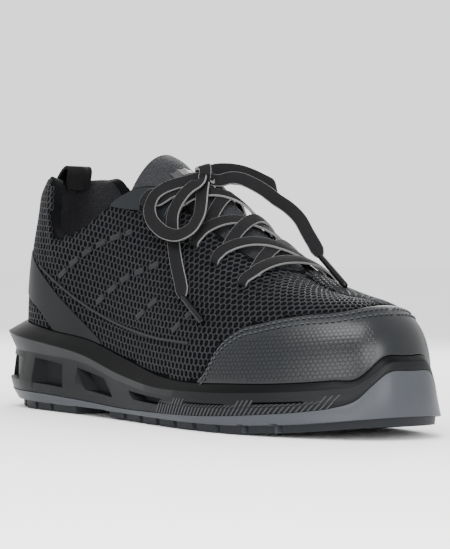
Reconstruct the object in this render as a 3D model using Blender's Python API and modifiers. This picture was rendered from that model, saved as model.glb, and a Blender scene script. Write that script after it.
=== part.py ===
"""Safety work sneaker for the right foot, empty and standing on its sole.

Metres. X runs from heel to toe, +Y to the inner side of the foot, +Z up. The origin lies on
the floor under the middle of the heel seat.
"""
from collections import namedtuple

import bmesh
import bpy
import numpy as np
from mathutils import Matrix, Vector

# Driving sizes of the last
LENGTH = 0.290
BALL_WIDTH = 0.101
HEEL_SEAT = 0.045
HEEL_ROUND = 0.037
TOE_ROUND = 0.047
INSTEP_HEIGHT = 0.1225
TOE_HEIGHT = 0.047
COLLAR_BACK = 0.0925
ANKLE_DIP = 0.0605

# Driving sizes of the sole
HEEL_STACK = 0.037
BALL_STACK = 0.018
TOE_SPRING = 0.0065
SOLE_FLARE = 0.005
RIM_HEIGHT = 0.010
RIM_WALL = 0.0012
OUTSOLE_WALL = 0.0026
TREAD_INSET = 0.0028
LUG_DEPTH = 0.0040
CHANNEL_WIDTH = 0.0035
WINDOW_DEPTH = 0.0045

# Driving sizes of the upper and what goes in it
UPPER_WALL = 0.0028
COLLAR_WALL = 0.0065
COLLAR_PAD_DEPTH = 0.020
PAD_FRONT = 0.34
PAD_FADE = 0.06
THROAT_HALF = 0.0165
THROAT_SPREAD = 0.007
THROAT_BACK = 0.30
THROAT_FRONT = 0.765
EYELET_SIZE = 0.0045
EYELET_INSET = 0.0085
EYELET_SHARES = (0.727, 0.643, 0.582, 0.500, 0.422)
TONGUE_WALL = 0.0055
TONGUE_HALF = 0.028
TONGUE_BACK = 0.375
TONGUE_ARCH = 0.020
INSOLE_WALL = 0.0040

# Driving sizes of the overlays
OVERLAY_WALL = 0.0010
STAY_WALL = 0.0005
SEAM_WIDTH = 0.0018
SEAM_WALL = 0.0008
LOOP_WIDTH = 0.016
LOOP_RISE = 0.0050
LOOP_WALL = 0.0016
LOOP_DROP = 0.010
LOOP_REACH = 1.25

# Driving sizes of the laces
LACE_WIDTH = 0.0072
LACE_WALL = 0.0014
LACE_STEPS = 9
LACE_RISE = 0.0024
KNOT_SIZE = (0.0112, 0.0104, 0.0088)
AGLET_SIZE = 0.0032

# Clearances between pieces that touch
FIT = 0.0003
SEAT = 0.0005

# How finely the surfaces are divided
STATIONS = 30
EXTRA_STATIONS = (0.120, 0.142, 0.165, 0.966, 0.982, 0.994)
ROWS = 8

# Half widths and centre line, as shares of the ball width
Outline = namedtuple("Outline", "share outer inner centre")
OUTLINE = [
    Outline(0.00, 0.000, 0.000, 0.000),
    Outline(0.03, 0.200, 0.220, 0.000),
    Outline(0.10, 0.325, 0.325, 0.000),
    Outline(0.20, 0.368, 0.355, 0.000),
    Outline(0.32, 0.383, 0.345, 0.000),
    Outline(0.45, 0.420, 0.350, 0.000),
    Outline(0.58, 0.475, 0.405, 0.002),
    Outline(0.68, 0.507, 0.460, 0.006),
    Outline(0.76, 0.505, 0.475, 0.018),
    Outline(0.84, 0.465, 0.450, 0.040),
    Outline(0.91, 0.378, 0.375, 0.060),
    Outline(0.97, 0.235, 0.235, 0.065),
    Outline(1.00, 0.000, 0.000, 0.065),
]

# The bed that the foot stands on: share of the heel's lift, share of the toe spring,
# and the rim over the bed as a share of the rim height
Bed = namedtuple("Bed", "share heel toe rim")
BED = [
    Bed(0.00, 1.00, 0.00, 1.20),
    Bed(0.10, 0.94, 0.00, 1.20),
    Bed(0.20, 0.83, 0.00, 1.04),
    Bed(0.32, 0.56, 0.00, 1.20),
    Bed(0.45, 0.22, 0.00, 1.02),
    Bed(0.58, 0.06, 0.00, 0.60),
    Bed(0.68, 0.00, 0.00, 0.58),
    Bed(0.76, 0.00, 0.08, 0.60),
    Bed(0.84, 0.00, 0.31, 0.55),
    Bed(0.90, 0.00, 0.54, 0.54),
    Bed(0.94, 0.00, 0.73, 0.56),
    Bed(0.968, 0.00, 0.87, 0.58),
    Bed(0.980, 0.00, 0.92, 0.98),
    Bed(0.990, 0.00, 0.96, 1.48),
    Bed(1.00, 0.00, 1.00, 1.62),
]

# Crest of the upper over the bed, from toe height to instep height, and how square it is
Crest = namedtuple("Crest", "share rise power")
CREST = [
    Crest(0.00, 0.96, 2.30),
    Crest(0.20, 1.00, 2.30),
    Crest(0.36, 0.98, 2.15),
    Crest(0.45, 0.86, 2.05),
    Crest(0.55, 0.66, 2.05),
    Crest(0.65, 0.43, 2.05),
    Crest(0.74, 0.21, 2.20),
    Crest(0.82, 0.06, 2.55),
    Crest(0.87, 0.00, 2.80),
]
TOE_POLE = CREST[-1].share

# Collar edge over the heel bed, from the ankle dip to the back of the collar
Collar = namedtuple("Collar", "share rise")
COLLAR = [
    Collar(0.00, 1.00),
    Collar(0.06, 1.02),
    Collar(0.11, 0.97),
    Collar(0.14, 0.60),
    Collar(0.16, 0.18),
    Collar(0.18, 0.00),
    Collar(0.22, 0.03),
    Collar(0.26, 0.13),
    Collar(0.30, 0.33),
    Collar(0.35, 0.64),
    Collar(0.39, 0.79),
    Collar(0.45, 0.81),
]

COLLAR_FRONT = COLLAR[-1].share

# How far the back of the heel leans forward at a height over the bed
Lean = namedtuple("Lean", "height forward")
LEAN = [
    Lean(0.000, 0.0005),
    Lean(0.020, 0.0000),
    Lean(0.045, 0.0025),
    Lean(0.065, 0.0075),
    Lean(0.080, 0.0125),
    Lean(0.093, 0.0205),
]
LEAN_END = 0.45

# Side of the sole: each line's distance out as a share of the flare, and its height as a
# share of the stack there
Side = namedtuple("Side", "share tread foot_out foot_up grey_out grey_up plate_up "
                          "bulge_out bulge_up cage_out cage_up lip_out lip_up")
SIDE = [
    Side(0.00, 0.055, 1.20, 0.155, 1.90, 0.300, 0.255, 2.20, 0.45, 1.60, 0.92, 2.50, 1.18),
    Side(0.10, 0.006, 1.00, 0.135, 1.60, 0.285, 0.235, 1.80, 0.46, 1.30, 0.91, 2.10, 1.16),
    Side(0.20, -0.010, 0.80, 0.135, 1.20, 0.280, 0.230, 1.20, 0.50, 0.90, 0.92, 1.50, 1.13),
    Side(0.32, 0.018, 0.80, 0.150, 1.00, 0.280, 0.235, 1.00, 0.55, 0.80, 0.99, 1.20, 1.16),
    Side(0.45, 0.018, 0.80, 0.190, 1.00, 0.300, 0.255, 1.00, 0.60, 0.90, 0.93, 1.10, 1.12),
    Side(0.58, -0.010, 0.80, 0.215, 1.00, 0.360, 0.305, 1.00, 0.66, 1.00, 0.87, 0.90, 1.05),
    Side(0.68, -0.010, 0.80, 0.235, 1.00, 0.425, 0.350, 1.00, 0.68, 1.00, 0.90, 0.80, 1.12),
    Side(0.76, 0.010, 0.80, 0.245, 0.96, 0.480, 0.395, 0.96, 0.70, 0.96, 0.91, 0.80, 1.12),
    Side(0.84, 0.075, 0.90, 0.290, 0.96, 0.550, 0.450, 0.92, 0.73, 0.94, 0.93, 0.75, 1.10),
    Side(0.90, 0.140, 1.10, 0.340, 1.00, 0.610, 0.490, 0.94, 0.76, 0.92, 0.94, 0.70, 1.09),
    Side(0.94, 0.205, 1.24, 0.390, 0.98, 0.680, 0.530, 0.90, 0.82, 0.86, 0.96, 0.66, 1.10),
    Side(0.968, 0.245, 1.38, 0.430, 0.92, 0.830, 0.560, 0.84, 0.93, 0.80, 1.03, 0.62, 1.14),
    Side(0.982, 0.265, 1.44, 0.450, 0.88, 1.100, 0.580, 0.80, 1.16, 0.76, 1.22, 0.62, 1.32),
    Side(0.992, 0.275, 1.48, 0.470, 0.84, 1.330, 0.590, 0.76, 1.38, 0.74, 1.44, 0.62, 1.52),
    Side(1.00, 0.286, 1.50, 0.480, 0.84, 1.380, 0.600, 0.76, 1.42, 0.76, 1.48, 0.66, 1.58),
]

# Grooves across the tread: place along the length, length along it, and turn in degrees
Groove = namedtuple("Groove", "share long turn")
GROOVES = [
    Groove(0.035, 0.0030, 0),
    Groove(0.085, 0.0030, 0),
    Groove(0.140, 0.0030, 0),
    Groove(0.195, 0.0030, 0),
    Groove(0.345, 0.0340, -4),
    Groove(0.475, 0.0035, -10),
    Groove(0.535, 0.0035, -10),
    Groove(0.595, 0.0035, -10),
    Groove(0.655, 0.0035, -10),
    Groove(0.715, 0.0035, -10),
    Groove(0.775, 0.0035, -10),
    Groove(0.835, 0.0035, -10),
    Groove(0.895, 0.0035, -10),
]

# Channels along the tread: ends along the length, and place across as a share of ball width
Channel = namedtuple("Channel", "back front across")
CHANNELS = [
    Channel(0.060, 0.260, -0.130),
    Channel(0.060, 0.260, 0.130),
    Channel(0.430, 0.780, -0.170),
    Channel(0.430, 0.780, 0.170),
]

# Recesses in the side of the cage: ends along the length, low and high lines as shares of the
# stack, and the lean of the ends as a share of the length
Window = namedtuple("Window", "back front low high lean")
WINDOWS = [
    Window(0.020, 0.110, 0.44, 0.84, 0.006),
    Window(0.160, 0.252, 0.42, 0.86, -0.006),
    Window(0.325, 0.425, 0.48, 0.89, -0.034),
    Window(0.500, 0.618, 0.55, 0.81, -0.020),
    Window(0.675, 0.768, 0.67, 0.85, -0.003),
    Window(0.820, 0.903, 0.76, 0.89, -0.003),
]

# Top edge of the toe cap over the bed, as a share of the toe height
Cap = namedtuple("Cap", "share rise")
CAP = [
    Cap(0.690, 0.15),
    Cap(0.709, 0.26),
    Cap(0.730, 0.49),
    Cap(0.765, 0.67),
    Cap(0.816, 0.75),
    Cap(0.885, 0.80),
    Cap(0.942, 0.80),
    Cap(1.000, 0.84),
]

# Smooth band round the heel: its edges over the heel bed, as shares of the collar's height
Band = namedtuple("Band", "share low high")
BAND = [
    Band(0.000, 0.36, 0.57),
    Band(0.070, 0.29, 0.54),
    Band(0.141, 0.20, 0.42),
    Band(0.203, 0.07, 0.30),
    Band(0.273, 0.00, 0.18),
    Band(0.357, 0.00, 0.04),
]

# Raised seam along the side, over the heel bed as a share of the collar's height
Seam = namedtuple("Seam", "share rise")
SEAM = [
    Seam(0.128, 0.472),
    Seam(0.197, 0.373),
    Seam(0.298, 0.245),
    Seam(0.414, 0.146),
    Seam(0.539, 0.087),
    Seam(0.651, 0.069),
]

# Lower edge of the smooth film at the collar's front corner, as a share of the collar's height
Stay = namedtuple("Stay", "share low")
STAY = [
    Stay(0.335, 0.825),
    Stay(0.380, 0.810),
    Stay(0.441, 0.790),
    Stay(0.496, 0.720),
]

# Patches sewn to the middle of the tongue: ends along the length, half width and thickness
Pad = namedtuple("Pad", "back front half wall")
LACE_KEEPER = Pad(0.553, 0.615, 0.0050, 0.0008)
TONGUE_LABEL = Pad(0.408, 0.448, 0.0115, 0.0006)

# An end of a lace in the throat: share of the length, side, and distance from the middle
End = namedtuple("End", "share side gap")

# Routes of the free laces, from the knot outward, and where their flat side faces
KNOT_PLACE = (0.1040, -0.0068, 0.1304)
LOOP_LATERAL = [
    (0.0980, -0.0160, 0.1268),
    (0.0945, -0.0203, 0.1253),
    (0.0906, -0.0240, 0.1230),
    (0.0880, -0.0280, 0.1190),
    (0.0875, -0.0305, 0.1135),
    (0.0920, -0.0335, 0.1080),
    (0.1010, -0.0360, 0.1025),
    (0.1110, -0.0370, 0.0990),
    (0.1195, -0.0360, 0.0985),
    (0.1240, -0.0325, 0.1015),
    (0.1235, -0.0270, 0.1075),
    (0.1180, -0.0205, 0.1145),
]
END_LATERAL = [
    (0.1092, -0.0155, 0.1264),
    (0.1078, -0.0190, 0.1239),
    (0.1064, -0.0253, 0.1174),
    (0.1064, -0.0300, 0.1092),
    (0.1086, -0.0320, 0.1010),
    (0.1115, -0.0335, 0.0950),
    (0.1165, -0.0363, 0.0880),
    (0.1220, -0.0388, 0.0805),
    (0.1280, -0.0414, 0.0730),
    (0.1320, -0.0432, 0.0665),
]
LOOP_MEDIAL = [
    (0.0995, 0.0075, 0.1340),
    (0.1020, 0.0130, 0.1340),
    (0.1050, 0.0190, 0.1330),
    (0.1070, 0.0250, 0.1310),
    (0.1090, 0.0305, 0.1285),
    (0.1110, 0.0350, 0.1260),
    (0.1095, 0.0385, 0.1245),
    (0.1045, 0.0375, 0.1250),
    (0.1005, 0.0320, 0.1275),
    (0.0975, 0.0230, 0.1295),
    (0.0945, 0.0150, 0.1300),
]
END_MEDIAL = [
    (0.1060, 0.0030, 0.1280),
    (0.1090, 0.0065, 0.1293),
    (0.1120, 0.0115, 0.1290),
    (0.1160, 0.0165, 0.1265),
    (0.1220, 0.0195, 0.1230),
    (0.1305, 0.0210, 0.1180),
    (0.1395, 0.0210, 0.1140),
    (0.1505, 0.0200, 0.1075),
    (0.1580, 0.0190, 0.1000),
    (0.1645, 0.0180, 0.0940),
    (0.1700, 0.0170, 0.0885),
]
AGLET_END_LATERAL = (0.1540, -0.0480, 0.0545)
AGLET_END_MEDIAL = (0.1935, 0.0135, 0.0735)
FACE_LATERAL = (0.30, -0.85, 0.45)
FACE_MEDIAL = (0.60, -0.70, 0.35)


def smooth(xs, ys, x):
    """Smooth curve through the points (xs, ys), read at x."""
    xs = np.asarray(xs, float)
    ys = np.asarray(ys, float)
    x = np.clip(np.asarray(x, float), xs[0], xs[-1])
    step = np.diff(xs)
    slope = np.diff(ys) / step
    tangent = np.empty_like(ys)
    tangent[0] = slope[0]
    tangent[-1] = slope[-1]
    tangent[1:-1] = (slope[:-1] * step[1:] + slope[1:] * step[:-1]) / (step[1:] + step[:-1])
    i = np.clip(np.searchsorted(xs, x) - 1, 0, len(xs) - 2)
    t = (x - xs[i]) / step[i]
    here = ys[i] * (1 + 2 * t) * (1 - t) ** 2 + tangent[i] * step[i] * t * (1 - t) ** 2
    there = ys[i + 1] * t * t * (3 - 2 * t) + tangent[i + 1] * step[i] * t * t * (t - 1)
    return here + there


def station(share):
    """Station from 0 at the heel to 1 at the toe, closer together at both ends."""
    return np.arccos(1 - 2 * np.asarray(share, float)) / np.pi


def share_at(s):
    """Share of the length at a station."""
    return (1 - np.cos(np.pi * np.asarray(s, float))) / 2


def column(table, name):
    return np.array([getattr(row, name) for row in table])


def read(table, name, s):
    """A table's column at a station."""
    return smooth(station(column(table, "share")), column(table, name), s)


def half_width(s, side):
    """Half width of the last: side -1 is the outer side of the foot and 1 the inner one."""
    rows = OUTLINE[1:-1]
    at = station(column(rows, "share"))
    widths = column(rows, "outer" if side < 0 else "inner") * BALL_WIDTH
    heel = np.sqrt(HEEL_ROUND * LENGTH / 2)
    toe = np.sqrt(TOE_ROUND * LENGTH / 2)
    fullness = np.concatenate([[heel], widths / np.sin(np.pi * at), [toe]])
    return smooth(np.concatenate([[0], at, [1]]), fullness, s) * np.sin(np.pi * np.asarray(s, float))


def centre(s):
    return read(OUTLINE, "centre", s) * BALL_WIDTH


def bed(s):
    """Height of the bed over the floor, which is the sole's stack there."""
    lift = (HEEL_STACK - BALL_STACK) * read(BED, "heel", s)
    return BALL_STACK + lift + TOE_SPRING * read(BED, "toe", s)


def rim(s):
    return bed(s) + RIM_HEIGHT * read(BED, "rim", s)


def crest_station(s):
    """Station where the section from outline station s meets the crest of the upper."""
    share = share_at(s)
    late = np.clip((share - 0.6) / 0.4, 0, 1)
    return station(share - (1 - TOE_POLE) * late ** 2)


def crest_rise(s):
    """Rise of the crest over the bed at outline station s."""
    top = crest_station(s)
    over = TOE_HEIGHT + (INSTEP_HEIGHT - TOE_HEIGHT) * read(CREST, "rise", top)
    return bed(top) + over - bed(s)


def skin(s, side, w):
    """Point of the last's surface: w runs from 0 at the bed to 1 at the crest."""
    s, w = np.broadcast_arrays(np.asarray(s, float), np.asarray(w, float))
    top = crest_station(s)
    power = 2 / read(CREST, "power", top)
    angle = np.clip(w, 0, 1) * np.pi / 2
    inward = 1 - np.cos(angle) ** power
    up = crest_rise(s) * np.sin(angle) ** power
    edge_y = centre(s) + side * half_width(s, side)
    edge_x = LENGTH * share_at(s)
    lean = smooth(column(LEAN, "height"), column(LEAN, "forward"), up)
    fade = np.clip(1 - s / LEAN_END, 0, 1) ** 2
    x = edge_x + (LENGTH * share_at(top) - edge_x) * inward + lean * fade - HEEL_SEAT
    y = edge_y + (centre(top) - edge_y) * inward
    return np.stack([x, y, bed(s) + up], -1)


def skin_normal(s, side, w):
    """Outward direction of the last's surface."""
    d = 1e-3
    s, w = np.broadcast_arrays(np.asarray(s, float), np.asarray(w, float))
    along = np.clip(s, d, 1 - d)
    upward = np.clip(w, d, 1 - d)
    run = skin(along + d, side, upward) - skin(along - d, side, upward)
    rise = skin(along, side, upward + d) - skin(along, side, upward - d)
    normal = np.cross(run, rise) * -side
    on_seam = (s <= 0) | (s >= 1) | (w >= 1)
    normal[..., 1] = np.where(on_seam, 0, normal[..., 1])
    return normal / np.linalg.norm(normal, axis=-1, keepdims=True)


def cover(s, side, w, proud):
    """The last's surface moved out by a distance, or in by a negative one."""
    proud = np.asarray(proud, float)[..., None]
    return skin(s, side, w) + skin_normal(s, side, w) * proud


def w_at_height(s, side, height):
    """Where the section passes a height over the floor."""
    up = np.clip((height - bed(s)) / crest_rise(s), 0, 1)
    return np.arcsin(up ** (read(CREST, "power", crest_station(s)) / 2)) * 2 / np.pi


def w_at_gap(s, side, gap):
    """Where the section comes within a distance of the middle of the foot."""
    top = crest_station(s)
    reach = np.abs(centre(s) + side * half_width(s, side) - centre(top))
    near = np.clip(gap / np.maximum(reach, 1e-6), 0, 1)
    return np.arccos(near ** (read(CREST, "power", top) / 2)) * 2 / np.pi


def collar_height(s):
    share = share_at(s)
    over = ANKLE_DIP + (COLLAR_BACK - ANKLE_DIP) * smooth(
        column(COLLAR, "share"), column(COLLAR, "rise"), share)
    return HEEL_STACK + over


def throat_run(s):
    """Place along the throat, from 0 at its back to 1 at its front."""
    return np.clip((share_at(s) - THROAT_BACK) / (THROAT_FRONT - THROAT_BACK), 0, 1)


def throat_half(s):
    return THROAT_HALF + THROAT_SPREAD * throat_run(s)


def throat_gap(s):
    """Half the opening of the throat, round at its front."""
    return throat_half(s) * np.sqrt(1 - throat_run(s) ** 6)


def edge_w(s, side):
    """Where the upper ends, at its collar or its throat."""
    share = share_at(s)
    collar = np.where(share > COLLAR_FRONT, 1.0, w_at_height(s, side, collar_height(s)))
    throat = np.where(share < THROAT_BACK + 0.04, 1.0, w_at_gap(s, side, throat_gap(s)))
    return np.minimum(collar, throat)


def outward(s, side):
    """Direction out of the outline, level with the floor."""
    normal = skin_normal(s, side, np.zeros_like(s))
    normal[..., 2] = 0
    return normal / np.linalg.norm(normal, axis=-1, keepdims=True)


def side_line(s, side, out, height):
    """A line round the sole, at a distance out from the last's outline."""
    points = skin(s, side, np.zeros_like(s)) + outward(s, side) * np.asarray(out)[..., None]
    points[..., 2] = height
    return points


def new_object(name, mesh, collection, material=None):
    obj = bpy.data.objects.new(name, mesh)
    collection.objects.link(obj)
    if material:
        mesh.materials.append(material)
    mesh.shade_smooth()
    mesh.set_sharp_from_angle(angle=np.radians(35))
    return obj


def welded(name, points, faces, weights=None):
    """A mesh from points and faces, with points that meet joined into one."""
    bm = bmesh.new()
    deform = bm.verts.layers.deform.verify() if weights is not None else None
    verts = [bm.verts.new(tuple(p)) for p in points]
    if deform is not None:
        for vert, weight in zip(verts, weights):
            vert[deform][0] = weight
    for face in faces:
        bm.faces.new([verts[i] for i in face])
    bmesh.ops.remove_doubles(bm, verts=bm.verts, dist=1e-6)
    mesh = bpy.data.meshes.new(name)
    bm.to_mesh(mesh)
    bm.free()
    return mesh


def grid_faces(rows, columns, first, flip):
    """Faces of a grid of points, outward on the outer side and flipped on the inner one."""
    faces = []
    for r in range(rows - 1):
        for c in range(columns - 1):
            i = first + r * columns + c
            face = [i, i + 1, i + columns + 1, i + columns]
            faces.append(face[::-1] if flip else face)
    return faces


def sheet_mesh(name, grids, weights=None):
    """One open surface from grids of points, each (side, points) with rows going up."""
    points = []
    faces = []
    for side, grid in grids:
        rows, columns = grid.shape[:2]
        faces += grid_faces(rows, columns, len(points), side > 0)
        points += list(grid.reshape(-1, 3))
    return welded(name, points, faces, weights)


def loop(outer, inner):
    """A closed line: out along the outer side and back along the inner one."""
    return np.concatenate([outer, inner[-2:0:-1]])


def loft_mesh(name, lines):
    """A closed body from lines of (outer, inner) points, capped at its first and last."""
    count = len(lines[0][0])
    around = 2 * count - 2
    points = np.concatenate([loop(outer, inner) for outer, inner in lines])
    faces = []
    for k in range(len(lines) - 1):
        for i in range(around):
            j = (i + 1) % around
            low, high = k * around, (k + 1) * around
            faces.append([low + i, low + j, high + j, high + i])
    last = (len(lines) - 1) * around
    for i in range(count - 1):
        far = [(around - i) % around, (around - i - 1) % around]
        faces.append(unique([i, far[0], far[1], i + 1]))
        faces.append([last + v for v in unique([i, i + 1, far[1], far[0]])])
    return welded(name, list(points), faces)


def unique(indices):
    return list(dict.fromkeys(indices))


def both(line):
    """The same line on the outer and the inner side."""
    return line(-1), line(1)


def add_solidify(obj, thickness, offset, group=None):
    wall = obj.modifiers.new("wall", "SOLIDIFY")
    wall.thickness = thickness
    wall.offset = offset
    wall.use_even_offset = True
    wall.use_quality_normals = True
    if group:
        obj.vertex_groups.new(name=group)
        wall.vertex_group = group
    return wall


def add_boolean(obj, cutter, operation="DIFFERENCE"):
    cut = obj.modifiers.new("cut", "BOOLEAN")
    cut.operation = operation
    cut.solver = "EXACT"
    cut.object = cutter
    return cut


def material(name, color, roughness, metallic=0.0):
    mat = bpy.data.materials.new(name)
    mat.use_nodes = True
    shader = mat.node_tree.nodes["Principled BSDF"]
    shader.inputs["Base Color"].default_value = (*color, 1)
    shader.inputs["Roughness"].default_value = roughness
    shader.inputs["Metallic"].default_value = metallic
    return mat


def collection(name):
    group = bpy.data.collections.new(name)
    bpy.context.scene.collection.children.link(group)
    return group


def side_value(s, name):
    return read(SIDE, name, s)


def tread_height(s):
    """Height of the tread, which lies on the floor under the heel and the ball."""
    return np.maximum(side_value(s, "tread"), 0) * bed(s)


def rubber_line(s, side, name, less=0.0, lower=0.0):
    """A line of the sole's side, moved in and down by the given distances."""
    out = side_value(s, name + "_out") * SOLE_FLARE - less
    return side_line(s, side, out, side_value(s, name + "_up") * bed(s) - lower)


def build_outsole(parts, cutters, stations):
    s = stations
    tread = tread_height(s)
    plate = side_value(s, "plate_up") * bed(s)
    foot_out = side_value(s, "foot_out") * SOLE_FLARE
    wall_out = side_value(s, "grey_out") * SOLE_FLARE - OUTSOLE_WALL
    grey_up = side_value(s, "grey_up") * bed(s)
    foot_up = side_value(s, "foot_up") * bed(s)
    lines = [
        both(lambda side: side_line(s, side, foot_out - TREAD_INSET - FIT, tread)),
        both(lambda side: side_line(s, side, foot_out - TREAD_INSET, foot_up - SEAT)),
        both(lambda side: side_line(s, side, foot_out, foot_up)),
        both(lambda side: rubber_line(s, side, "grey")),
        both(lambda side: side_line(s, side, wall_out, grey_up)),
        both(lambda side: side_line(s, side, wall_out, plate)),
    ]
    mesh = loft_mesh("outsole", lines)
    outsole = new_object("outsole", mesh, parts, material("rubber_grey", (0.10, 0.12, 0.14), 0.6))
    add_boolean(outsole, build_grooves(cutters))
    add_boolean(outsole, build_channels(cutters))
    return outsole


def build_grooves(cutters):
    """Blocks that cut the grooves between the lugs."""
    bm = bmesh.new()
    for groove in GROOVES:
        s = station(groove.share)
        top = float(tread_height(s)) + LUG_DEPTH
        deep = 3 * LUG_DEPTH
        place = Matrix.Translation((LENGTH * groove.share - HEEL_SEAT, float(centre(s)), top - deep / 2))
        turn = Matrix.Rotation(np.radians(groove.turn), 4, "Z")
        size = Matrix.Diagonal((groove.long, 2 * BALL_WIDTH, deep, 1))
        bmesh.ops.create_cube(bm, size=1, matrix=place @ turn @ size)
    mesh = bpy.data.meshes.new("grooves")
    bm.to_mesh(mesh)
    bm.free()
    return cutter_object("grooves", mesh, cutters)


def build_channels(cutters):
    """Bars that cut the channels along the tread."""
    steps = 6
    bm = bmesh.new()
    for channel in CHANNELS:
        s = station(np.linspace(channel.back, channel.front, steps))
        x = LENGTH * share_at(s) - HEEL_SEAT
        top = tread_height(s) + LUG_DEPTH - SEAT
        middle = centre(s) + channel.across * BALL_WIDTH
        edges = []
        for turn, height in ((-1, top - 3 * LUG_DEPTH), (-1, top), (1, top), (1, top - 3 * LUG_DEPTH)):
            edges.append(np.stack([x, middle + turn * CHANNEL_WIDTH / 2, height], -1))
        add_block(bm, edges, False)
    mesh = bpy.data.meshes.new("channels")
    bm.to_mesh(mesh)
    bm.free()
    return cutter_object("channels", mesh, cutters)


def cutter_object(name, mesh, cutters):
    obj = bpy.data.objects.new(name, mesh)
    cutters.objects.link(obj)
    obj.hide_render = True
    obj.display_type = "WIRE"
    return obj


def build_midsole(parts, cutters, stations):
    s = stations
    plate = side_value(s, "plate_up") * bed(s) + FIT
    grey_up = side_value(s, "grey_up") * bed(s) + FIT
    inner_out = side_value(s, "grey_out") * SOLE_FLARE - OUTSOLE_WALL - FIT
    lines = [
        both(lambda side: side_line(s, side, inner_out, plate)),
        both(lambda side: side_line(s, side, inner_out, grey_up)),
        both(lambda side: side_line(s, side, side_value(s, "grey_out") * SOLE_FLARE - FIT, grey_up)),
        both(lambda side: rubber_line(s, side, "bulge")),
        both(lambda side: rubber_line(s, side, "cage")),
        both(lambda side: rubber_line(s, side, "lip")),
    ]
    for share, proud in ((1.0, FIT + RIM_WALL), (1.0, FIT), (0.5, FIT), (0.0, FIT)):
        height = bed(s) + (rim(s) - bed(s)) * share
        lines.append(both(lambda side: cover(s, side, w_at_height(s, side, height),
                                             np.full_like(s, proud))))
    mesh = loft_mesh("midsole", lines)
    midsole = new_object("midsole", mesh, parts, material("foam_dark", (0.02, 0.02, 0.022), 0.55))
    add_boolean(midsole, build_windows(cutters))
    return midsole


def build_windows(cutters):
    """Blocks that follow the side of the sole and cut the recesses of its cage."""
    steps = 5
    bm = bmesh.new()
    for window in WINDOWS:
        for side in (-1, 1):
            corners = []
            for level, lean in ((window.low, 0), (window.high, window.lean)):
                share = np.linspace(window.back, window.front, steps) + lean
                s = station(share)
                height = level * bed(s)
                skirt = side_value(s, "bulge_out") * SOLE_FLARE
                corners.append(side_line(s, side, skirt + 2 * SOLE_FLARE, height))
                corners.append(side_line(s, side, skirt - WINDOW_DEPTH, height))
            low_out, low_in, high_out, high_in = corners
            add_block(bm, [low_out, high_out, high_in, low_in], side > 0)
    mesh = bpy.data.meshes.new("windows")
    bm.to_mesh(mesh)
    bm.free()
    return cutter_object("windows", mesh, cutters)


def add_block(bm, edges, flip):
    """A closed bar through four long edges, given in order round its end."""
    count = len(edges[0])
    verts = [[bm.verts.new(tuple(p)) for p in edge] for edge in edges]
    faces = []
    for a in range(4):
        b = (a + 1) % 4
        for i in range(count - 1):
            faces.append([verts[a][i], verts[a][i + 1], verts[b][i + 1], verts[b][i]])
    faces.append([verts[a][0] for a in range(4)])
    faces.append([verts[a][-1] for a in (3, 2, 1, 0)])
    for face in faces:
        bm.faces.new(face[::-1] if flip else face)


def build_insole(parts, stations):
    s = stations
    lines = []
    for up, less in ((SEAT, 0.0015), (SEAT + INSOLE_WALL * 0.3, 0.0), (SEAT + INSOLE_WALL, 0.0006)):
        w = w_at_height(s, -1, bed(s) + up)
        inset = -(UPPER_WALL + 2 * SEAT + less)
        line = both(lambda side: cover(s, side, w, np.full_like(s, inset)))
        for points in line:
            points[:, 2] = bed(s) + up
        lines.append(line)
    mesh = loft_mesh("insole", lines)
    return new_object("insole", mesh, parts, material("insole_fabric", (0.03, 0.03, 0.03), 0.9))


def wall_share(s, side, w, edge):
    """Thickness of the upper as a share of its padded collar."""
    plain = UPPER_WALL / COLLAR_WALL
    height = skin(s, side, w)[..., 2]
    near = 1 - np.clip((collar_height(s) - height) / COLLAR_PAD_DEPTH - 0.4, 0, 1)
    back = np.clip((PAD_FRONT - share_at(s)) / PAD_FADE, 0, 1)
    blend = near * near * (3 - 2 * near) * back
    return plain + (1 - plain) * blend


def build_upper(parts, stations, holes):
    s = stations
    grids = []
    weights = []
    for side in (-1, 1):
        edge = edge_w(s, side)
        w = edge * (np.arange(ROWS + 1) / ROWS)[:, None]
        w[0] = w_at_height(s, side, bed(s) + SEAT)
        along = np.broadcast_to(s, w.shape)
        grids.append((side, cover(along, side, w, np.zeros_like(w))))
        weights += list(wall_share(along, side, w, edge).reshape(-1))
    mesh = sheet_mesh("upper", grids, weights)
    upper = new_object("upper", mesh, parts, material("knit_black", (0.02, 0.02, 0.025), 0.8))
    add_solidify(upper, COLLAR_WALL, -1, "wall")
    add_boolean(upper, holes)
    return upper


def eyelet(share, side, proud=0.0):
    """Centre of an eyelet and its outward direction."""
    s = np.array([station(share)])
    w = w_at_gap(s, side, throat_half(s) + EYELET_INSET)
    point = cover(s, side, w, np.array([proud]))[0]
    return Vector(point), Vector(skin_normal(s, side, w)[0])


def build_eyelets(cutters):
    bm = bmesh.new()
    for share in EYELET_SHARES:
        for side in (-1, 1):
            point, normal = eyelet(share, side)
            turn = normal.to_track_quat("Z", "Y").to_matrix().to_4x4()
            bmesh.ops.create_cone(bm, cap_ends=True, segments=8, radius1=EYELET_SIZE / 2,
                                  radius2=EYELET_SIZE / 2, depth=4 * COLLAR_WALL,
                                  matrix=Matrix.Translation(point) @ turn)
    mesh = bpy.data.meshes.new("eyelet_holes")
    bm.to_mesh(mesh)
    bm.free()
    return cutter_object("eyelet_holes", mesh, cutters)


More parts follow.
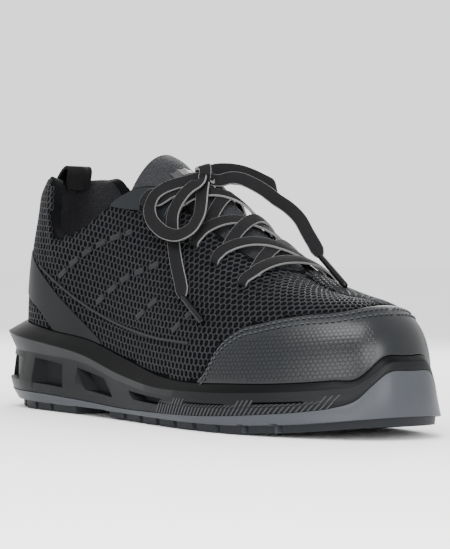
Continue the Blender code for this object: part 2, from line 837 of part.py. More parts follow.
def build_tongue(parts):
    """A padded flap under the throat, standing up past the collar."""
    grids = []
    for side in (-1, 1):
        rows = []
        for u in np.linspace(1, 0, 6):
            back = TONGUE_BACK - TONGUE_ARCH * u ** 2
            s = station(np.linspace(back, THROAT_FRONT + 0.015, 15))
            rows.append(on_tongue(s, side, TONGUE_HALF * u, 0.0))
        grids.append((side, np.stack(rows)))
    mesh = sheet_mesh("tongue", grids)
    tongue = new_object("tongue", mesh, parts, material("tongue_knit", (0.03, 0.035, 0.05), 0.7))
    add_solidify(tongue, TONGUE_WALL, -1)
    return tongue


def on_tongue(s, side, across, proud):
    """Point over the tongue's top face, at a distance from its middle."""
    w = w_at_gap(s, side, across)
    return cover(s, side, w, np.full_like(s, proud - UPPER_WALL - 2 * SEAT))


def overlay(name, parts, grids, wall, look):
    """A thin piece over the upper, from grids of points on its inner face."""
    obj = new_object(name, sheet_mesh(name, grids), parts, look)
    add_solidify(obj, wall, 1)
    return obj


def strip_grid(s, side, low, high, rows):
    """Points over the upper between two lines given by their heights over the floor."""
    low_w = w_at_height(s, side, low)
    high_w = np.minimum(w_at_height(s, side, high), edge_w(s, side))
    share = np.linspace(0, 1, rows)[:, None]
    w = low_w + (high_w - low_w) * share
    along = np.broadcast_to(s, w.shape)
    return cover(along, side, w, np.full_like(w, SEAT))


def over_collar(table, name, s):
    """A height over the floor, read as a share of the collar's height over the heel bed."""
    return HEEL_STACK + COLLAR_BACK * smooth(column(table, "share"), column(table, name), share_at(s))


def build_toe_cap(parts):
    s = np.linspace(station(CAP[0].share), 1, 14)
    grids = []
    for side in (-1, 1):
        rise = smooth(column(CAP, "share"), column(CAP, "rise"), share_at(s))
        grids.append((side, strip_grid(s, side, rim(s) + SEAT, bed(s) + rise * TOE_HEIGHT, 6)))
    return overlay("toe_cap", parts, grids, OVERLAY_WALL, material("cap_film", (0.05, 0.055, 0.065), 0.4))


def build_heel_band(parts):
    s = np.linspace(0, station(BAND[-1].share), 14)
    grids = []
    for side in (-1, 1):
        low = np.maximum(over_collar(BAND, "low", s), rim(s) + SEAT)
        grids.append((side, strip_grid(s, side, low, over_collar(BAND, "high", s), 4)))
    return overlay("heel_band", parts, grids, OVERLAY_WALL, material("band_film", (0.05, 0.055, 0.06), 0.5))


def build_seam(parts, name, side):
    s = np.linspace(station(SEAM[0].share), station(SEAM[-1].share), 16)
    middle = over_collar(SEAM, "rise", s)
    grid = strip_grid(s, side, middle - SEAM_WIDTH / 2, middle + SEAM_WIDTH / 2, 2)
    return overlay(name, parts, [(side, grid)], SEAM_WALL, material(name, (0.05, 0.055, 0.06), 0.5))


def build_stay(parts, name, side, holes):
    """Smooth film round the top eyelet, between the collar and the throat."""
    s = np.linspace(station(STAY[0].share), station(STAY[-1].share), 10)
    low = over_collar(STAY, "low", s)
    stay = overlay(name, parts, [(side, strip_grid(s, side, low, np.full_like(s, np.inf), 6))],
                   STAY_WALL, material(name, (0.04, 0.05, 0.065), 0.5))
    add_boolean(stay, holes)
    return stay


def build_tongue_pad(parts, name, pad, look):
    """A flat patch sewn to the middle of the tongue."""
    grids = []
    for side in (-1, 1):
        rows = []
        for across in (pad.half, 0.5 * pad.half, 0.0):
            s = station(np.linspace(pad.back, pad.front, 4))
            rows.append(on_tongue(s, side, across, FIT))
        grids.append((side, np.stack(rows)))
    return overlay(name, parts, grids, pad.wall, look)


def band_line(start, end, proud):
    """Middle line of a lace across the throat, and the directions that it faces."""
    points = []
    normals = []
    for t in np.linspace(0, 1, LACE_STEPS):
        s = station(np.array([start.share + (end.share - start.share) * t]))
        across = -start.gap + (start.gap + end.gap) * t
        side = start.side if across < 0 else end.side
        w = w_at_gap(s, side, abs(across))
        points.append(cover(s, side, w, np.array([proud]))[0])
        normals.append(skin_normal(s, side, w)[0])
    return np.array(points), np.array(normals)


def ribbon_mesh(name, points, normals, width, wall):
    """A closed flat strip along points, facing along the normals."""
    run = np.gradient(points, axis=0)
    across = np.cross(normals, run)
    across /= np.linalg.norm(across, axis=1, keepdims=True)
    face = np.cross(run, across)
    face /= np.linalg.norm(face, axis=1, keepdims=True)
    corners = []
    for out, up in ((-1, -1), (1, -1), (1, 1), (-1, 1)):
        corners.append(points + across * out * width / 2 + face * up * wall / 2)
    bm = bmesh.new()
    add_block(bm, corners, False)
    bmesh.ops.recalc_face_normals(bm, faces=bm.faces)
    mesh = bpy.data.meshes.new(name)
    bm.to_mesh(mesh)
    bm.free()
    return mesh


def row_end(index, side, inside):
    """End of a lace at a row of eyelets: at the hole, or just inside the throat's edge."""
    share = EYELET_SHARES[index]
    reach = throat_half(np.array([station(share)]))[0]
    gap = reach - 2 * SEAT if inside else reach + EYELET_INSET - EYELET_SIZE / 2
    return End(share, side, gap)


def build_lacing(parts, cutters):
    """The bar over the front of the throat and the crossings above it, joined into one."""
    runs = [(row_end(0, -1, False), row_end(0, 1, False))]
    for row in range(1, len(EYELET_SHARES)):
        for side in (-1, 1):
            runs.append((row_end(row, side, False), row_end(row - 1, -side, True)))
    lacing = None
    for number, (start, end) in enumerate(runs):
        proud = LACE_RISE + (number % 2) * LACE_WALL / 2
        points, normals = band_line(start, end, proud)
        mesh = ribbon_mesh("lacing_%d" % number, points, normals, LACE_WIDTH, LACE_WALL)
        if lacing is None:
            lacing = new_object("lacing", mesh, parts, material("lace_black", (0.02, 0.02, 0.02), 0.7))
        else:
            add_boolean(lacing, cutter_object("lace_%d" % number, mesh, cutters), "UNION")
    return lacing


def smooth_route(points, per_span):
    """A smooth curve through a route's points."""
    points = np.asarray(points, float)
    reach = np.linalg.norm(np.diff(points, axis=0), axis=1)
    at = np.concatenate([[0], np.cumsum(reach)])
    fine = np.linspace(0, at[-1], per_span * (len(points) - 1) + 1)
    return np.stack([smooth(at, points[:, k], fine) for k in range(3)], -1)


def build_cord(parts, name, route, face):
    """A free lace along its route, with its flat side facing one way."""
    points = smooth_route(route, 2)
    normals = np.broadcast_to(np.array(face), points.shape)
    mesh = ribbon_mesh(name, points, normals, LACE_WIDTH, LACE_WALL)
    return new_object(name, mesh, parts, material(name, (0.02, 0.02, 0.02), 0.7))


def build_knot(parts):
    bm = bmesh.new()
    size = Matrix.Diagonal((*KNOT_SIZE, 1))
    bmesh.ops.create_uvsphere(bm, u_segments=10, v_segments=7, radius=0.5,
                              matrix=Matrix.Translation(KNOT_PLACE) @ size)
    mesh = bpy.data.meshes.new("lace_knot")
    bm.to_mesh(mesh)
    bm.free()
    return new_object("lace_knot", mesh, parts, material("lace_knot", (0.02, 0.02, 0.02), 0.7))


def build_aglet(parts, name, lace_end, end):
    """The hard tip of a lace, from where the lace ends to its own end."""
    run = Vector(end) - Vector(lace_end)
    start = Vector(lace_end) + run.normalized() * LACE_WALL
    tip = bpy.data.curves.new(name, "CURVE")
    tip.dimensions = "3D"
    tip.bevel_depth = AGLET_SIZE / 2
    tip.bevel_resolution = 2
    tip.use_fill_caps = True
    line = tip.splines.new("POLY")
    line.points.add(1)
    for point, place in zip(line.points, (start, end)):
        point.co = (*place, 1)
    obj = bpy.data.objects.new(name, tip)
    parts.objects.link(obj)
    tip.materials.append(material(name, (0.02, 0.02, 0.02), 0.3))
    return obj


def build_pull_loop(parts):
    """A webbing loop over the back of the collar."""
    grids = []
    for side in (-1, 1):
        probe = np.linspace(0, 0.2, 81)
        top = collar_height(probe)
        reach = np.abs(skin(probe, side, w_at_height(probe, side, top))[:, 1])
        s = np.interp(np.linspace(0, LOOP_WIDTH / 2, 4), reach, probe)
        rows = []
        inside = -LOOP_REACH * COLLAR_WALL - SEAT
        for height, proud in ((-LOOP_DROP, SEAT), (-0.5 * LOOP_DROP, SEAT), (0.0, SEAT),
                              (0.5 * LOOP_RISE, -0.1 * COLLAR_WALL), (LOOP_RISE, -0.5 * COLLAR_WALL),
                              (0.5 * LOOP_RISE, -0.9 * COLLAR_WALL), (0.0, inside),
                              (-0.5 * LOOP_DROP, inside), (-LOOP_DROP, inside)):
            level = collar_height(s)
            w = w_at_height(s, side, level + min(height, 0))
            points = cover(s, side, w, np.full_like(s, proud))
            if height >= 0:
                points[:, 2] = level + height
            rows.append(points)
        grids.append((side, np.stack(rows)))
    return overlay("pull_loop", parts, grids, LOOP_WALL, material("webbing", (0.02, 0.02, 0.02), 0.8))


def main():
    for obj in list(bpy.data.objects):
        bpy.data.objects.remove(obj, do_unlink=True)
    parts = collection("safety_sneaker")
    cutters = collection("cutters")
    stations = np.sort(np.concatenate([np.linspace(0, 1, STATIONS + 1), station(EXTRA_STATIONS)]))
    build_outsole(parts, cutters, stations)
    build_midsole(parts, cutters, stations)
    build_insole(parts, stations)
    holes = build_eyelets(cutters)
    build_upper(parts, stations, holes)
    build_tongue(parts)
    build_toe_cap(parts)
    build_heel_band(parts)
    build_pull_loop(parts)
    build_tongue_pad(parts, "tongue_label", TONGUE_LABEL, material("label_plate", (0.05, 0.05, 0.05), 0.5))
    build_tongue_pad(parts, "lace_keeper", LACE_KEEPER, material("keeper_film", (0.05, 0.055, 0.06), 0.5))
    build_lacing(parts, cutters)
    build_knot(parts)
    build_cord(parts, "lace_loop_lateral", LOOP_LATERAL, FACE_LATERAL)
    build_cord(parts, "lace_end_lateral", END_LATERAL, FACE_LATERAL)
    build_cord(parts, "lace_loop_medial", LOOP_MEDIAL, FACE_MEDIAL)
    build_cord(parts, "lace_end_medial", END_MEDIAL, FACE_MEDIAL)
    build_aglet(parts, "aglet_lateral", END_LATERAL[-1], AGLET_END_LATERAL)
    build_aglet(parts, "aglet_medial", END_MEDIAL[-1], AGLET_END_MEDIAL)
    for word, side in (("lateral", -1), ("medial", 1)):
        build_seam(parts, "seam_" + word, side)
        build_stay(parts, "stay_" + word, side, holes)


main()
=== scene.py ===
"""Looks of the safety sneaker, laid over its solids in the same frame."""

from collections import namedtuple

import bmesh
import bpy
import numpy as np
from mathutils import Matrix, Vector


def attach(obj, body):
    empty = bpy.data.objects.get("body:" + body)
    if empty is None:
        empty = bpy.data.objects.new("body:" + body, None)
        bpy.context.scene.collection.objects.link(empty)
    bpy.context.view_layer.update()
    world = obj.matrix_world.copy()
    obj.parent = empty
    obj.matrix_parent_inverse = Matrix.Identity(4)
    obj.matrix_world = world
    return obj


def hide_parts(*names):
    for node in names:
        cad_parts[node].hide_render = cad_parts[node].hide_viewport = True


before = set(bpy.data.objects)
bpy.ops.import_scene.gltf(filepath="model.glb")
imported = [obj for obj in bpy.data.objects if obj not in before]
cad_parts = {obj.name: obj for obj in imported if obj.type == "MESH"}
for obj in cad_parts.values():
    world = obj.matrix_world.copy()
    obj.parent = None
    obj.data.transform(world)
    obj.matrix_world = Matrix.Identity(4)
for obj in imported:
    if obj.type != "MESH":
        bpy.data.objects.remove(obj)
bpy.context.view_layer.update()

# Driving sizes of the last
LENGTH = 0.290
BALL_WIDTH = 0.101
HEEL_SEAT = 0.045
HEEL_ROUND = 0.037
TOE_ROUND = 0.047
INSTEP_HEIGHT = 0.1225
TOE_HEIGHT = 0.047
COLLAR_BACK = 0.0925
ANKLE_DIP = 0.0605

# Driving sizes of the sole
HEEL_STACK = 0.037
BALL_STACK = 0.018
TOE_SPRING = 0.0065
SOLE_FLARE = 0.005
RIM_HEIGHT = 0.010
RIM_WALL = 0.0012
OUTSOLE_WALL = 0.0026
TREAD_INSET = 0.0028
LUG_DEPTH = 0.0040
CHANNEL_WIDTH = 0.0035
WINDOW_DEPTH = 0.0045

# Driving sizes of the upper and what goes in it
UPPER_WALL = 0.0028
COLLAR_WALL = 0.0065
COLLAR_PAD_DEPTH = 0.020
PAD_FRONT = 0.34
PAD_FADE = 0.06
THROAT_HALF = 0.0165
THROAT_SPREAD = 0.007
THROAT_BACK = 0.30
THROAT_FRONT = 0.765
EYELET_SIZE = 0.0045
EYELET_INSET = 0.0085
EYELET_SHARES = (0.727, 0.643, 0.582, 0.500, 0.422)
TONGUE_WALL = 0.0055
TONGUE_HALF = 0.028
TONGUE_BACK = 0.375
TONGUE_ARCH = 0.020

# Driving sizes of the overlays
OVERLAY_WALL = 0.0010
STAY_WALL = 0.0005
LOOP_WIDTH = 0.016
LOOP_RISE = 0.0050
LOOP_WALL = 0.0016
LOOP_DROP = 0.010
LOOP_REACH = 1.25

# Driving sizes of the laces
LACE_WIDTH = 0.0072
LACE_WALL = 0.0014
AGLET_SIZE = 0.0032

# Clearances between pieces that touch
FIT = 0.0003
SEAT = 0.0005

# Shares of the length that get a line of points of their own, where the shape turns quickly
EXTRA_STATIONS = (0.120, 0.142, 0.165, 0.966, 0.982, 0.994)

# Half widths and centre line, as shares of the ball width
Outline = namedtuple("Outline", "share outer inner centre")
OUTLINE = [
    Outline(0.00, 0.000, 0.000, 0.000),
    Outline(0.03, 0.200, 0.220, 0.000),
    Outline(0.10, 0.325, 0.325, 0.000),
    Outline(0.20, 0.368, 0.355, 0.000),
    Outline(0.32, 0.383, 0.345, 0.000),
    Outline(0.45, 0.420, 0.350, 0.000),
    Outline(0.58, 0.475, 0.405, 0.002),
    Outline(0.68, 0.507, 0.460, 0.006),
    Outline(0.76, 0.505, 0.475, 0.018),
    Outline(0.84, 0.465, 0.450, 0.040),
    Outline(0.91, 0.378, 0.375, 0.060),
    Outline(0.97, 0.235, 0.235, 0.065),
    Outline(1.00, 0.000, 0.000, 0.065),
]

# The bed that the foot stands on: share of the heel's lift, share of the toe spring,
# and the rim over the bed as a share of the rim height
Bed = namedtuple("Bed", "share heel toe rim")
BED = [
    Bed(0.00, 1.00, 0.00, 1.20),
    Bed(0.10, 0.94, 0.00, 1.20),
    Bed(0.20, 0.83, 0.00, 1.04),
    Bed(0.32, 0.56, 0.00, 1.20),
    Bed(0.45, 0.22, 0.00, 1.02),
    Bed(0.58, 0.06, 0.00, 0.60),
    Bed(0.68, 0.00, 0.00, 0.58),
    Bed(0.76, 0.00, 0.08, 0.60),
    Bed(0.84, 0.00, 0.31, 0.55),
    Bed(0.90, 0.00, 0.54, 0.54),
    Bed(0.94, 0.00, 0.73, 0.56),
    Bed(0.968, 0.00, 0.87, 0.58),
    Bed(0.980, 0.00, 0.92, 0.98),
    Bed(0.990, 0.00, 0.96, 1.48),
    Bed(1.00, 0.00, 1.00, 1.62),
]

# Crest of the upper over the bed, from toe height to instep height, and how square it is
Crest = namedtuple("Crest", "share rise power")
CREST = [
    Crest(0.00, 0.96, 2.30),
    Crest(0.20, 1.00, 2.30),
    Crest(0.36, 0.98, 2.15),
    Crest(0.45, 0.86, 2.05),
    Crest(0.55, 0.66, 2.05),
    Crest(0.65, 0.43, 2.05),
    Crest(0.74, 0.21, 2.20),
    Crest(0.82, 0.06, 2.55),
    Crest(0.87, 0.00, 2.80),
]
TOE_POLE = CREST[-1].share

# Collar edge over the heel bed, from the ankle dip to the back of the collar
Collar = namedtuple("Collar", "share rise")
COLLAR = [
    Collar(0.00, 1.00),
    Collar(0.06, 1.02),
    Collar(0.11, 0.97),
    Collar(0.14, 0.60),
    Collar(0.16, 0.18),
    Collar(0.18, 0.00),
    Collar(0.22, 0.03),
    Collar(0.26, 0.13),
    Collar(0.30, 0.33),
    Collar(0.35, 0.64),
    Collar(0.39, 0.79),
    Collar(0.45, 0.81),
]

COLLAR_FRONT = COLLAR[-1].share

# How far the back of the heel leans forward at a height over the bed
Lean = namedtuple("Lean", "height forward")
LEAN = [
    Lean(0.000, 0.0005),
    Lean(0.020, 0.0000),
    Lean(0.045, 0.0025),
    Lean(0.065, 0.0075),
    Lean(0.080, 0.0125),
    Lean(0.093, 0.0205),
]
LEAN_END = 0.45

# Side of the sole: each line's distance out as a share of the flare, and its height as a
# share of the stack there
Side = namedtuple("Side", "share tread foot_out foot_up grey_out grey_up plate_up "
                          "bulge_out bulge_up cage_out cage_up lip_out lip_up")
SIDE = [
    Side(0.00, 0.055, 1.20, 0.155, 1.90, 0.300, 0.255, 2.20, 0.45, 1.60, 0.92, 2.50, 1.18),
    Side(0.10, 0.006, 1.00, 0.135, 1.60, 0.285, 0.235, 1.80, 0.46, 1.30, 0.91, 2.10, 1.16),
    Side(0.20, -0.010, 0.80, 0.135, 1.20, 0.280, 0.230, 1.20, 0.50, 0.90, 0.92, 1.50, 1.13),
    Side(0.32, 0.018, 0.80, 0.150, 1.00, 0.280, 0.235, 1.00, 0.55, 0.80, 0.99, 1.20, 1.16),
    Side(0.45, 0.018, 0.80, 0.190, 1.00, 0.300, 0.255, 1.00, 0.60, 0.90, 0.93, 1.10, 1.12),
    Side(0.58, -0.010, 0.80, 0.215, 1.00, 0.360, 0.305, 1.00, 0.66, 1.00, 0.87, 0.90, 1.05),
    Side(0.68, -0.010, 0.80, 0.235, 1.00, 0.425, 0.350, 1.00, 0.68, 1.00, 0.90, 0.80, 1.12),
    Side(0.76, 0.010, 0.80, 0.245, 0.96, 0.480, 0.395, 0.96, 0.70, 0.96, 0.91, 0.80, 1.12),
    Side(0.84, 0.075, 0.90, 0.290, 0.96, 0.550, 0.450, 0.92, 0.73, 0.94, 0.93, 0.75, 1.10),
    Side(0.90, 0.140, 1.10, 0.340, 1.00, 0.610, 0.490, 0.94, 0.76, 0.92, 0.94, 0.70, 1.09),
    Side(0.94, 0.205, 1.24, 0.390, 0.98, 0.680, 0.530, 0.90, 0.82, 0.86, 0.96, 0.66, 1.10),
    Side(0.968, 0.245, 1.38, 0.430, 0.92, 0.830, 0.560, 0.84, 0.93, 0.80, 1.03, 0.62, 1.14),
    Side(0.982, 0.265, 1.44, 0.450, 0.88, 1.100, 0.580, 0.80, 1.16, 0.76, 1.22, 0.62, 1.32),
    Side(0.992, 0.275, 1.48, 0.470, 0.84, 1.330, 0.590, 0.76, 1.38, 0.74, 1.44, 0.62, 1.52),
    Side(1.00, 0.286, 1.50, 0.480, 0.84, 1.380, 0.600, 0.76, 1.42, 0.76, 1.48, 0.66, 1.58),
]

# Grooves across the tread: place along the length, length along it, and turn in degrees
Groove = namedtuple("Groove", "share long turn")
GROOVES = [
    Groove(0.035, 0.0030, 0),
    Groove(0.085, 0.0030, 0),
    Groove(0.140, 0.0030, 0),
    Groove(0.195, 0.0030, 0),
    Groove(0.345, 0.0340, -4),
    Groove(0.475, 0.0035, -10),
    Groove(0.535, 0.0035, -10),
    Groove(0.595, 0.0035, -10),
    Groove(0.655, 0.0035, -10),
    Groove(0.715, 0.0035, -10),
    Groove(0.775, 0.0035, -10),
    Groove(0.835, 0.0035, -10),
    Groove(0.895, 0.0035, -10),
]

# Channels along the tread: ends along the length, and place across as a share of ball width
Channel = namedtuple("Channel", "back front across")
CHANNELS = [
    Channel(0.060, 0.260, -0.130),
    Channel(0.060, 0.260, 0.130),
    Channel(0.430, 0.780, -0.170),
    Channel(0.430, 0.780, 0.170),
]

# Recesses in the side of the cage: ends along the length, low and high lines as shares of the
# stack, and the lean of the ends as a share of the length
Window = namedtuple("Window", "back front low high lean")
WINDOWS = [
    Window(0.020, 0.110, 0.44, 0.84, 0.006),
    Window(0.160, 0.252, 0.42, 0.86, -0.006),
    Window(0.325, 0.425, 0.48, 0.89, -0.034),
    Window(0.500, 0.618, 0.55, 0.81, -0.020),
    Window(0.675, 0.768, 0.67, 0.85, -0.003),
    Window(0.820, 0.903, 0.76, 0.89, -0.003),
]

# Top edge of the toe cap over the bed, as a share of the toe height
Cap = namedtuple("Cap", "share rise")
CAP = [
    Cap(0.690, 0.15),
    Cap(0.709, 0.26),
    Cap(0.730, 0.49),
    Cap(0.765, 0.67),
    Cap(0.816, 0.75),
    Cap(0.885, 0.80),
    Cap(0.942, 0.80),
    Cap(1.000, 0.84),
]

# Smooth band round the heel: its edges over the heel bed, as shares of the collar's height
Band = namedtuple("Band", "share low high")
BAND = [
    Band(0.000, 0.36, 0.57),
    Band(0.070, 0.29, 0.54),
    Band(0.141, 0.20, 0.42),
    Band(0.203, 0.07, 0.30),
    Band(0.273, 0.00, 0.18),
    Band(0.357, 0.00, 0.04),
]

# Raised seam along the side, over the heel bed as a share of the collar's height
Seam = namedtuple("Seam", "share rise")
SEAM = [
    Seam(0.128, 0.472),
    Seam(0.197, 0.373),
    Seam(0.298, 0.245),
    Seam(0.414, 0.146),
    Seam(0.539, 0.087),
    Seam(0.651, 0.069),
]

# Lower edge of the smooth film at the collar's front corner, as a share of the collar's height
Stay = namedtuple("Stay", "share low")
STAY = [
    Stay(0.335, 0.825),
    Stay(0.380, 0.810),
    Stay(0.441, 0.790),
    Stay(0.496, 0.720),
]

# Routes of the free laces, from the knot outward, and where their flat side faces
KNOT_PLACE = (0.1040, -0.0068, 0.1304)
LOOP_LATERAL = [
    (0.0980, -0.0160, 0.1268),
    (0.0945, -0.0203, 0.1253),
    (0.0906, -0.0240, 0.1230),
    (0.0880, -0.0280, 0.1190),
    (0.0875, -0.0305, 0.1135),
    (0.0920, -0.0335, 0.1080),
    (0.1010, -0.0360, 0.1025),
    (0.1110, -0.0370, 0.0990),
    (0.1195, -0.0360, 0.0985),
    (0.1240, -0.0325, 0.1015),
    (0.1235, -0.0270, 0.1075),
    (0.1180, -0.0205, 0.1145),
]
END_LATERAL = [
    (0.1092, -0.0155, 0.1264),
    (0.1078, -0.0190, 0.1239),
    (0.1064, -0.0253, 0.1174),
    (0.1064, -0.0300, 0.1092),
    (0.1086, -0.0320, 0.1010),
    (0.1115, -0.0335, 0.0950),
    (0.1165, -0.0363, 0.0880),
    (0.1220, -0.0388, 0.0805),
    (0.1280, -0.0414, 0.0730),
    (0.1320, -0.0432, 0.0665),
]
LOOP_MEDIAL = [
    (0.0995, 0.0075, 0.1340),
    (0.1020, 0.0130, 0.1340),
    (0.1050, 0.0190, 0.1330),
    (0.1070, 0.0250, 0.1310),
    (0.1090, 0.0305, 0.1285),
    (0.1110, 0.0350, 0.1260),
    (0.1095, 0.0385, 0.1245),
    (0.1045, 0.0375, 0.1250),
    (0.1005, 0.0320, 0.1275),
    (0.0975, 0.0230, 0.1295),
    (0.0945, 0.0150, 0.1300),
]
END_MEDIAL = [
    (0.1060, 0.0030, 0.1280),
    (0.1090, 0.0065, 0.1293),
    (0.1120, 0.0115, 0.1290),
    (0.1160, 0.0165, 0.1265),
    (0.1220, 0.0195, 0.1230),
    (0.1305, 0.0210, 0.1180),
    (0.1395, 0.0210, 0.1140),
    (0.1505, 0.0200, 0.1075),
    (0.1580, 0.0190, 0.1000),
    (0.1645, 0.0180, 0.0940),
    (0.1700, 0.0170, 0.0885),
]
AGLET_END_LATERAL = (0.1540, -0.0480, 0.0545)
AGLET_END_MEDIAL = (0.1935, 0.0135, 0.0735)
FACE_LATERAL = (0.30, -0.85, 0.45)
FACE_MEDIAL = (0.60, -0.70, 0.35)

# The two sides of the foot, outer and inner, and the words for them in the names of pieces
SIDES = ((-1, "lateral"), (1, "medial"))

# Sizes of the net, the toe cap's cells and stitches, the dashes and the bindings
NET_PITCH = 0.0038
NET_RISE = 0.0006
NET_MARGIN = 0.0016
CELL_PITCH = 0.0023
CELL_RISE = 0.00028
CELL_SINK = 0.00005
CELL_MARGIN_LOW = 0.0022
CELL_MARGIN_TOP = 0.0055
CELL_MARGIN_BACK = 0.012
CELL_FADE_SHARE = 0.992
CELL_FADE_RUN = 0.03
CELL_FADE_HEIGHT = 0.040
CELL_FADE_FALL = 0.012
CELL_LEAST = 0.25
PIPE_SIZE = 0.0015
BINDING_SIZE = 0.0026
BINDING_SINK = 0.0006
BINDING_START = 0.075
RING_SIZE = 0.0005
DASH_WIDTH = 0.0034
DASH_LONG = 0.0078
DASH_STEP = 0.0122
FILM_RISE = 0.0002
STITCH_LONG = 0.0021
STITCH_STEP = 0.0031
STITCH_SIZE = 0.00055
STITCH_START = 0.006
STITCH_INSETS = (0.0016, 0.0040)

# Rounding of the edges
SHELL_ROUND = 0.0011
FILM_ROUND = 0.0003
TONGUE_ROUND = 0.0022
SOLE_ROUND = 0.0007
TREAD_ROUND = 0.0008

# The puff of the padded collar, and the creases over the ball
PUFF_RISE = 0.0013
PUFF_MIDDLE = 0.45
PUFF_SPREAD = 0.42
CREASE_DEPTH = 0.0007
CREASE_HALF = 0.0045
CREASE_START = 0.35
CREASE_RUN = 0.4
Crease = namedtuple("Crease", "share turn")
CREASES = [Crease(0.748, 0.020), Crease(0.768, 0.012), Crease(0.722, 0.030)]

# The tongue's puff at its top, and how far it is raised inside the throat
TONGUE_PUFF = 0.0016
TONGUE_PUFF_SHARE = 0.405
TONGUE_PUFF_SPREAD = 0.030
TONGUE_RAISE = 0.0032
TONGUE_RAISE_SHARE = 0.465
TONGUE_RAISE_RUN = 0.03
TONGUE_PLAY = 0.0015
TONGUE_PAST_THROAT = 0.015

# The looks of the sole's side, all one dark foam: the cage's band is painted a lighter grey, which is painted
# light on its outward face, and it fades and ends towards the toe; the ledge is painted darker, which is
# painted shade on its upward face
CAGE_LOOK, LIT_BAND_LOOK, SHADED_LEDGE_LOOK, HOLLOW_SHADE_LOOK, LIT_FADE_LOOK = range(5)
FADE_START = 0.53
BAND_END = 0.63
LEDGE_START = 0.12
LEDGE_END = 0.90
WINDOW_SLANT = 0.24
WINDOW_SLANT_FROM = 0.1
WINDOW_TAPER = 0.0011
HATCH_START = 0.585
HATCH_END = 0.935
HATCH_STEP = 0.0085
HATCH_SLANT = 0.008
HATCH_SIZE = 0.0003
HATCH_TOP = 0.92
HATCH_UNDER_WINDOW = 0.34
HATCH_BEFORE = 0.014
HATCH_AFTER = 0.006

# The pull loop, from its outer end over the top and down inside the collar
LOOP_LEAN = 0.0038
LoopStep = namedtuple("LoopStep", "height proud")
LOOP_PATH = [
    LoopStep(-LOOP_DROP, 1.3 * SEAT),
    LoopStep(-0.75 * LOOP_DROP, 1.3 * SEAT),
    LoopStep(-0.5 * LOOP_DROP, 1.3 * SEAT),
    LoopStep(0.0, SEAT),
    LoopStep(0.8 * LOOP_RISE, 0.0),
    LoopStep(1.25 * LOOP_RISE, -0.3 * COLLAR_WALL),
    LoopStep(1.35 * LOOP_RISE, -0.6 * COLLAR_WALL),
    LoopStep(0.9 * LOOP_RISE, -1.0 * COLLAR_WALL),
    LoopStep(0.0, -LOOP_REACH * COLLAR_WALL - SEAT),
    LoopStep(-0.12 * LOOP_DROP, -LOOP_REACH * COLLAR_WALL - SEAT),
]

# Section of a lace: places across it and its height there, as shares of half its size
LACE_EDGE = 0.92
LACE_ACROSS = (-1.0, -0.96, -LACE_EDGE, -0.45, 0.0, 0.45, LACE_EDGE, 0.96, 1.0)
LACE_TALL = (0.0, 0.80, 0.86, 1.0, 1.0, 1.0, 0.86, 0.80, 0.0)
RIB_STEP = 0.0006
RIB_RISE = 0.16
TIP_TAPER = 0.0045
TIP_CURVE = 0.6

# A lace's way up through a hole: height over the upper, distance past the hole, how far it
# has turned to lie flat, and its width
Pass = namedtuple("Pass", "proud out flat width")
HOLE_PASS = [
    Pass(-0.0040, 0.0, 0.0, 0.60),
    Pass(-0.0005, 0.0, 0.15, 0.62),
    Pass(0.0016, -0.0006, 0.65, 0.80),
    Pass(0.0022, -0.0032, 1.0, 0.98),
]

# A lace's way under the throat's edge: depth under the upper, and distance past the edge
Under = namedtuple("Under", "depth out")
UNDER_EDGE = [Under(0.0016, 0.0020), Under(0.0032, 0.0055)]
EDGE_PLAY = 0.0005
HOLE_PLAY = 0.0055
LAST_CROSSING = 0.468
LAST_DEPTH = 0.0002

# Heights of the crossings and the bar over the upper, and how much they rise halfway
CROSS_RISE = 0.0020
CROSS_HUMP = 0.0016
CROSS_FALL = 0.0010
LAST_RISE = -0.0004
LAST_HUMP = 0.0016
LAST_LIFT = 0.0008
BAR_RISE = 0.0022
BAR_HUMP = 0.0012
BAR_BOW = 0.012

# How far each crossing is lifted over the one that it passes: row, side, and share of the lift
Cross = namedtuple("Cross", "row side over")
CROSSINGS = [
    Cross(1, -1, 1.0),
    Cross(1, 1, 0.25),
    Cross(2, -1, 0.25),
    Cross(2, 1, 1.0),
    Cross(3, -1, 1.0),
    Cross(3, 1, 0.25),
    Cross(4, -1, 1.0),
    Cross(4, 1, 0.25),
]

# The lace from the last hole to the knot: share of the way from the middle to the hole, less a
# distance, and how far ahead of the hole and over the upper
ToKnot = namedtuple("ToKnot", "part less ahead proud")
HOLE_TO_KNOT = [ToKnot(1, 0.0, 0.0, -0.003), ToKnot(1, 0.0005, 0.002, 0.0022)]
TO_KNOT = {
    1: HOLE_TO_KNOT + [ToKnot(1, 0.005, 0.010, 0.0036), ToKnot(0.6, 0.0, 0.015, 0.0052),
                       ToKnot(0.42, 0.0, 0.020, 0.0062)],
    -1: HOLE_TO_KNOT + [ToKnot(1, 0.0035, 0.012, 0.0028), ToKnot(0.88, 0.0, 0.036, 0.0028),
                        ToKnot(0.72, 0.0, 0.056, 0.0030)],
}

# The knot, and where the free laces leave it and come back to it
KNOT_BACK = np.array([0.77, -0.64, 0.03])
KNOT_UP = np.array([-0.22, -0.22, 0.95])
KNOT_RING = 0.0046
KNOT_TWIST = 0.0012
KNOT_CORE = (0.0096, 0.0090, 0.0080)
KNOT_SWIRL = 0.00035
KNOT_WAVES = (900, 700)
KNOT_BAND_WIDTH = 0.9
KNOT_BAND_WALL = 1.4
NEAR_KNOT = tuple(np.array(KNOT_PLACE) + np.array([0.001, -0.003, -0.001]))
BACK_LATERAL = [(0.1125, -0.0155, 0.1200), (0.1075, -0.0105, 0.1255)]
BACK_MEDIAL = [(0.0960, 0.0070, 0.1315)]
FACE_LOOP_MEDIAL = (-0.25, -0.10, 0.96)

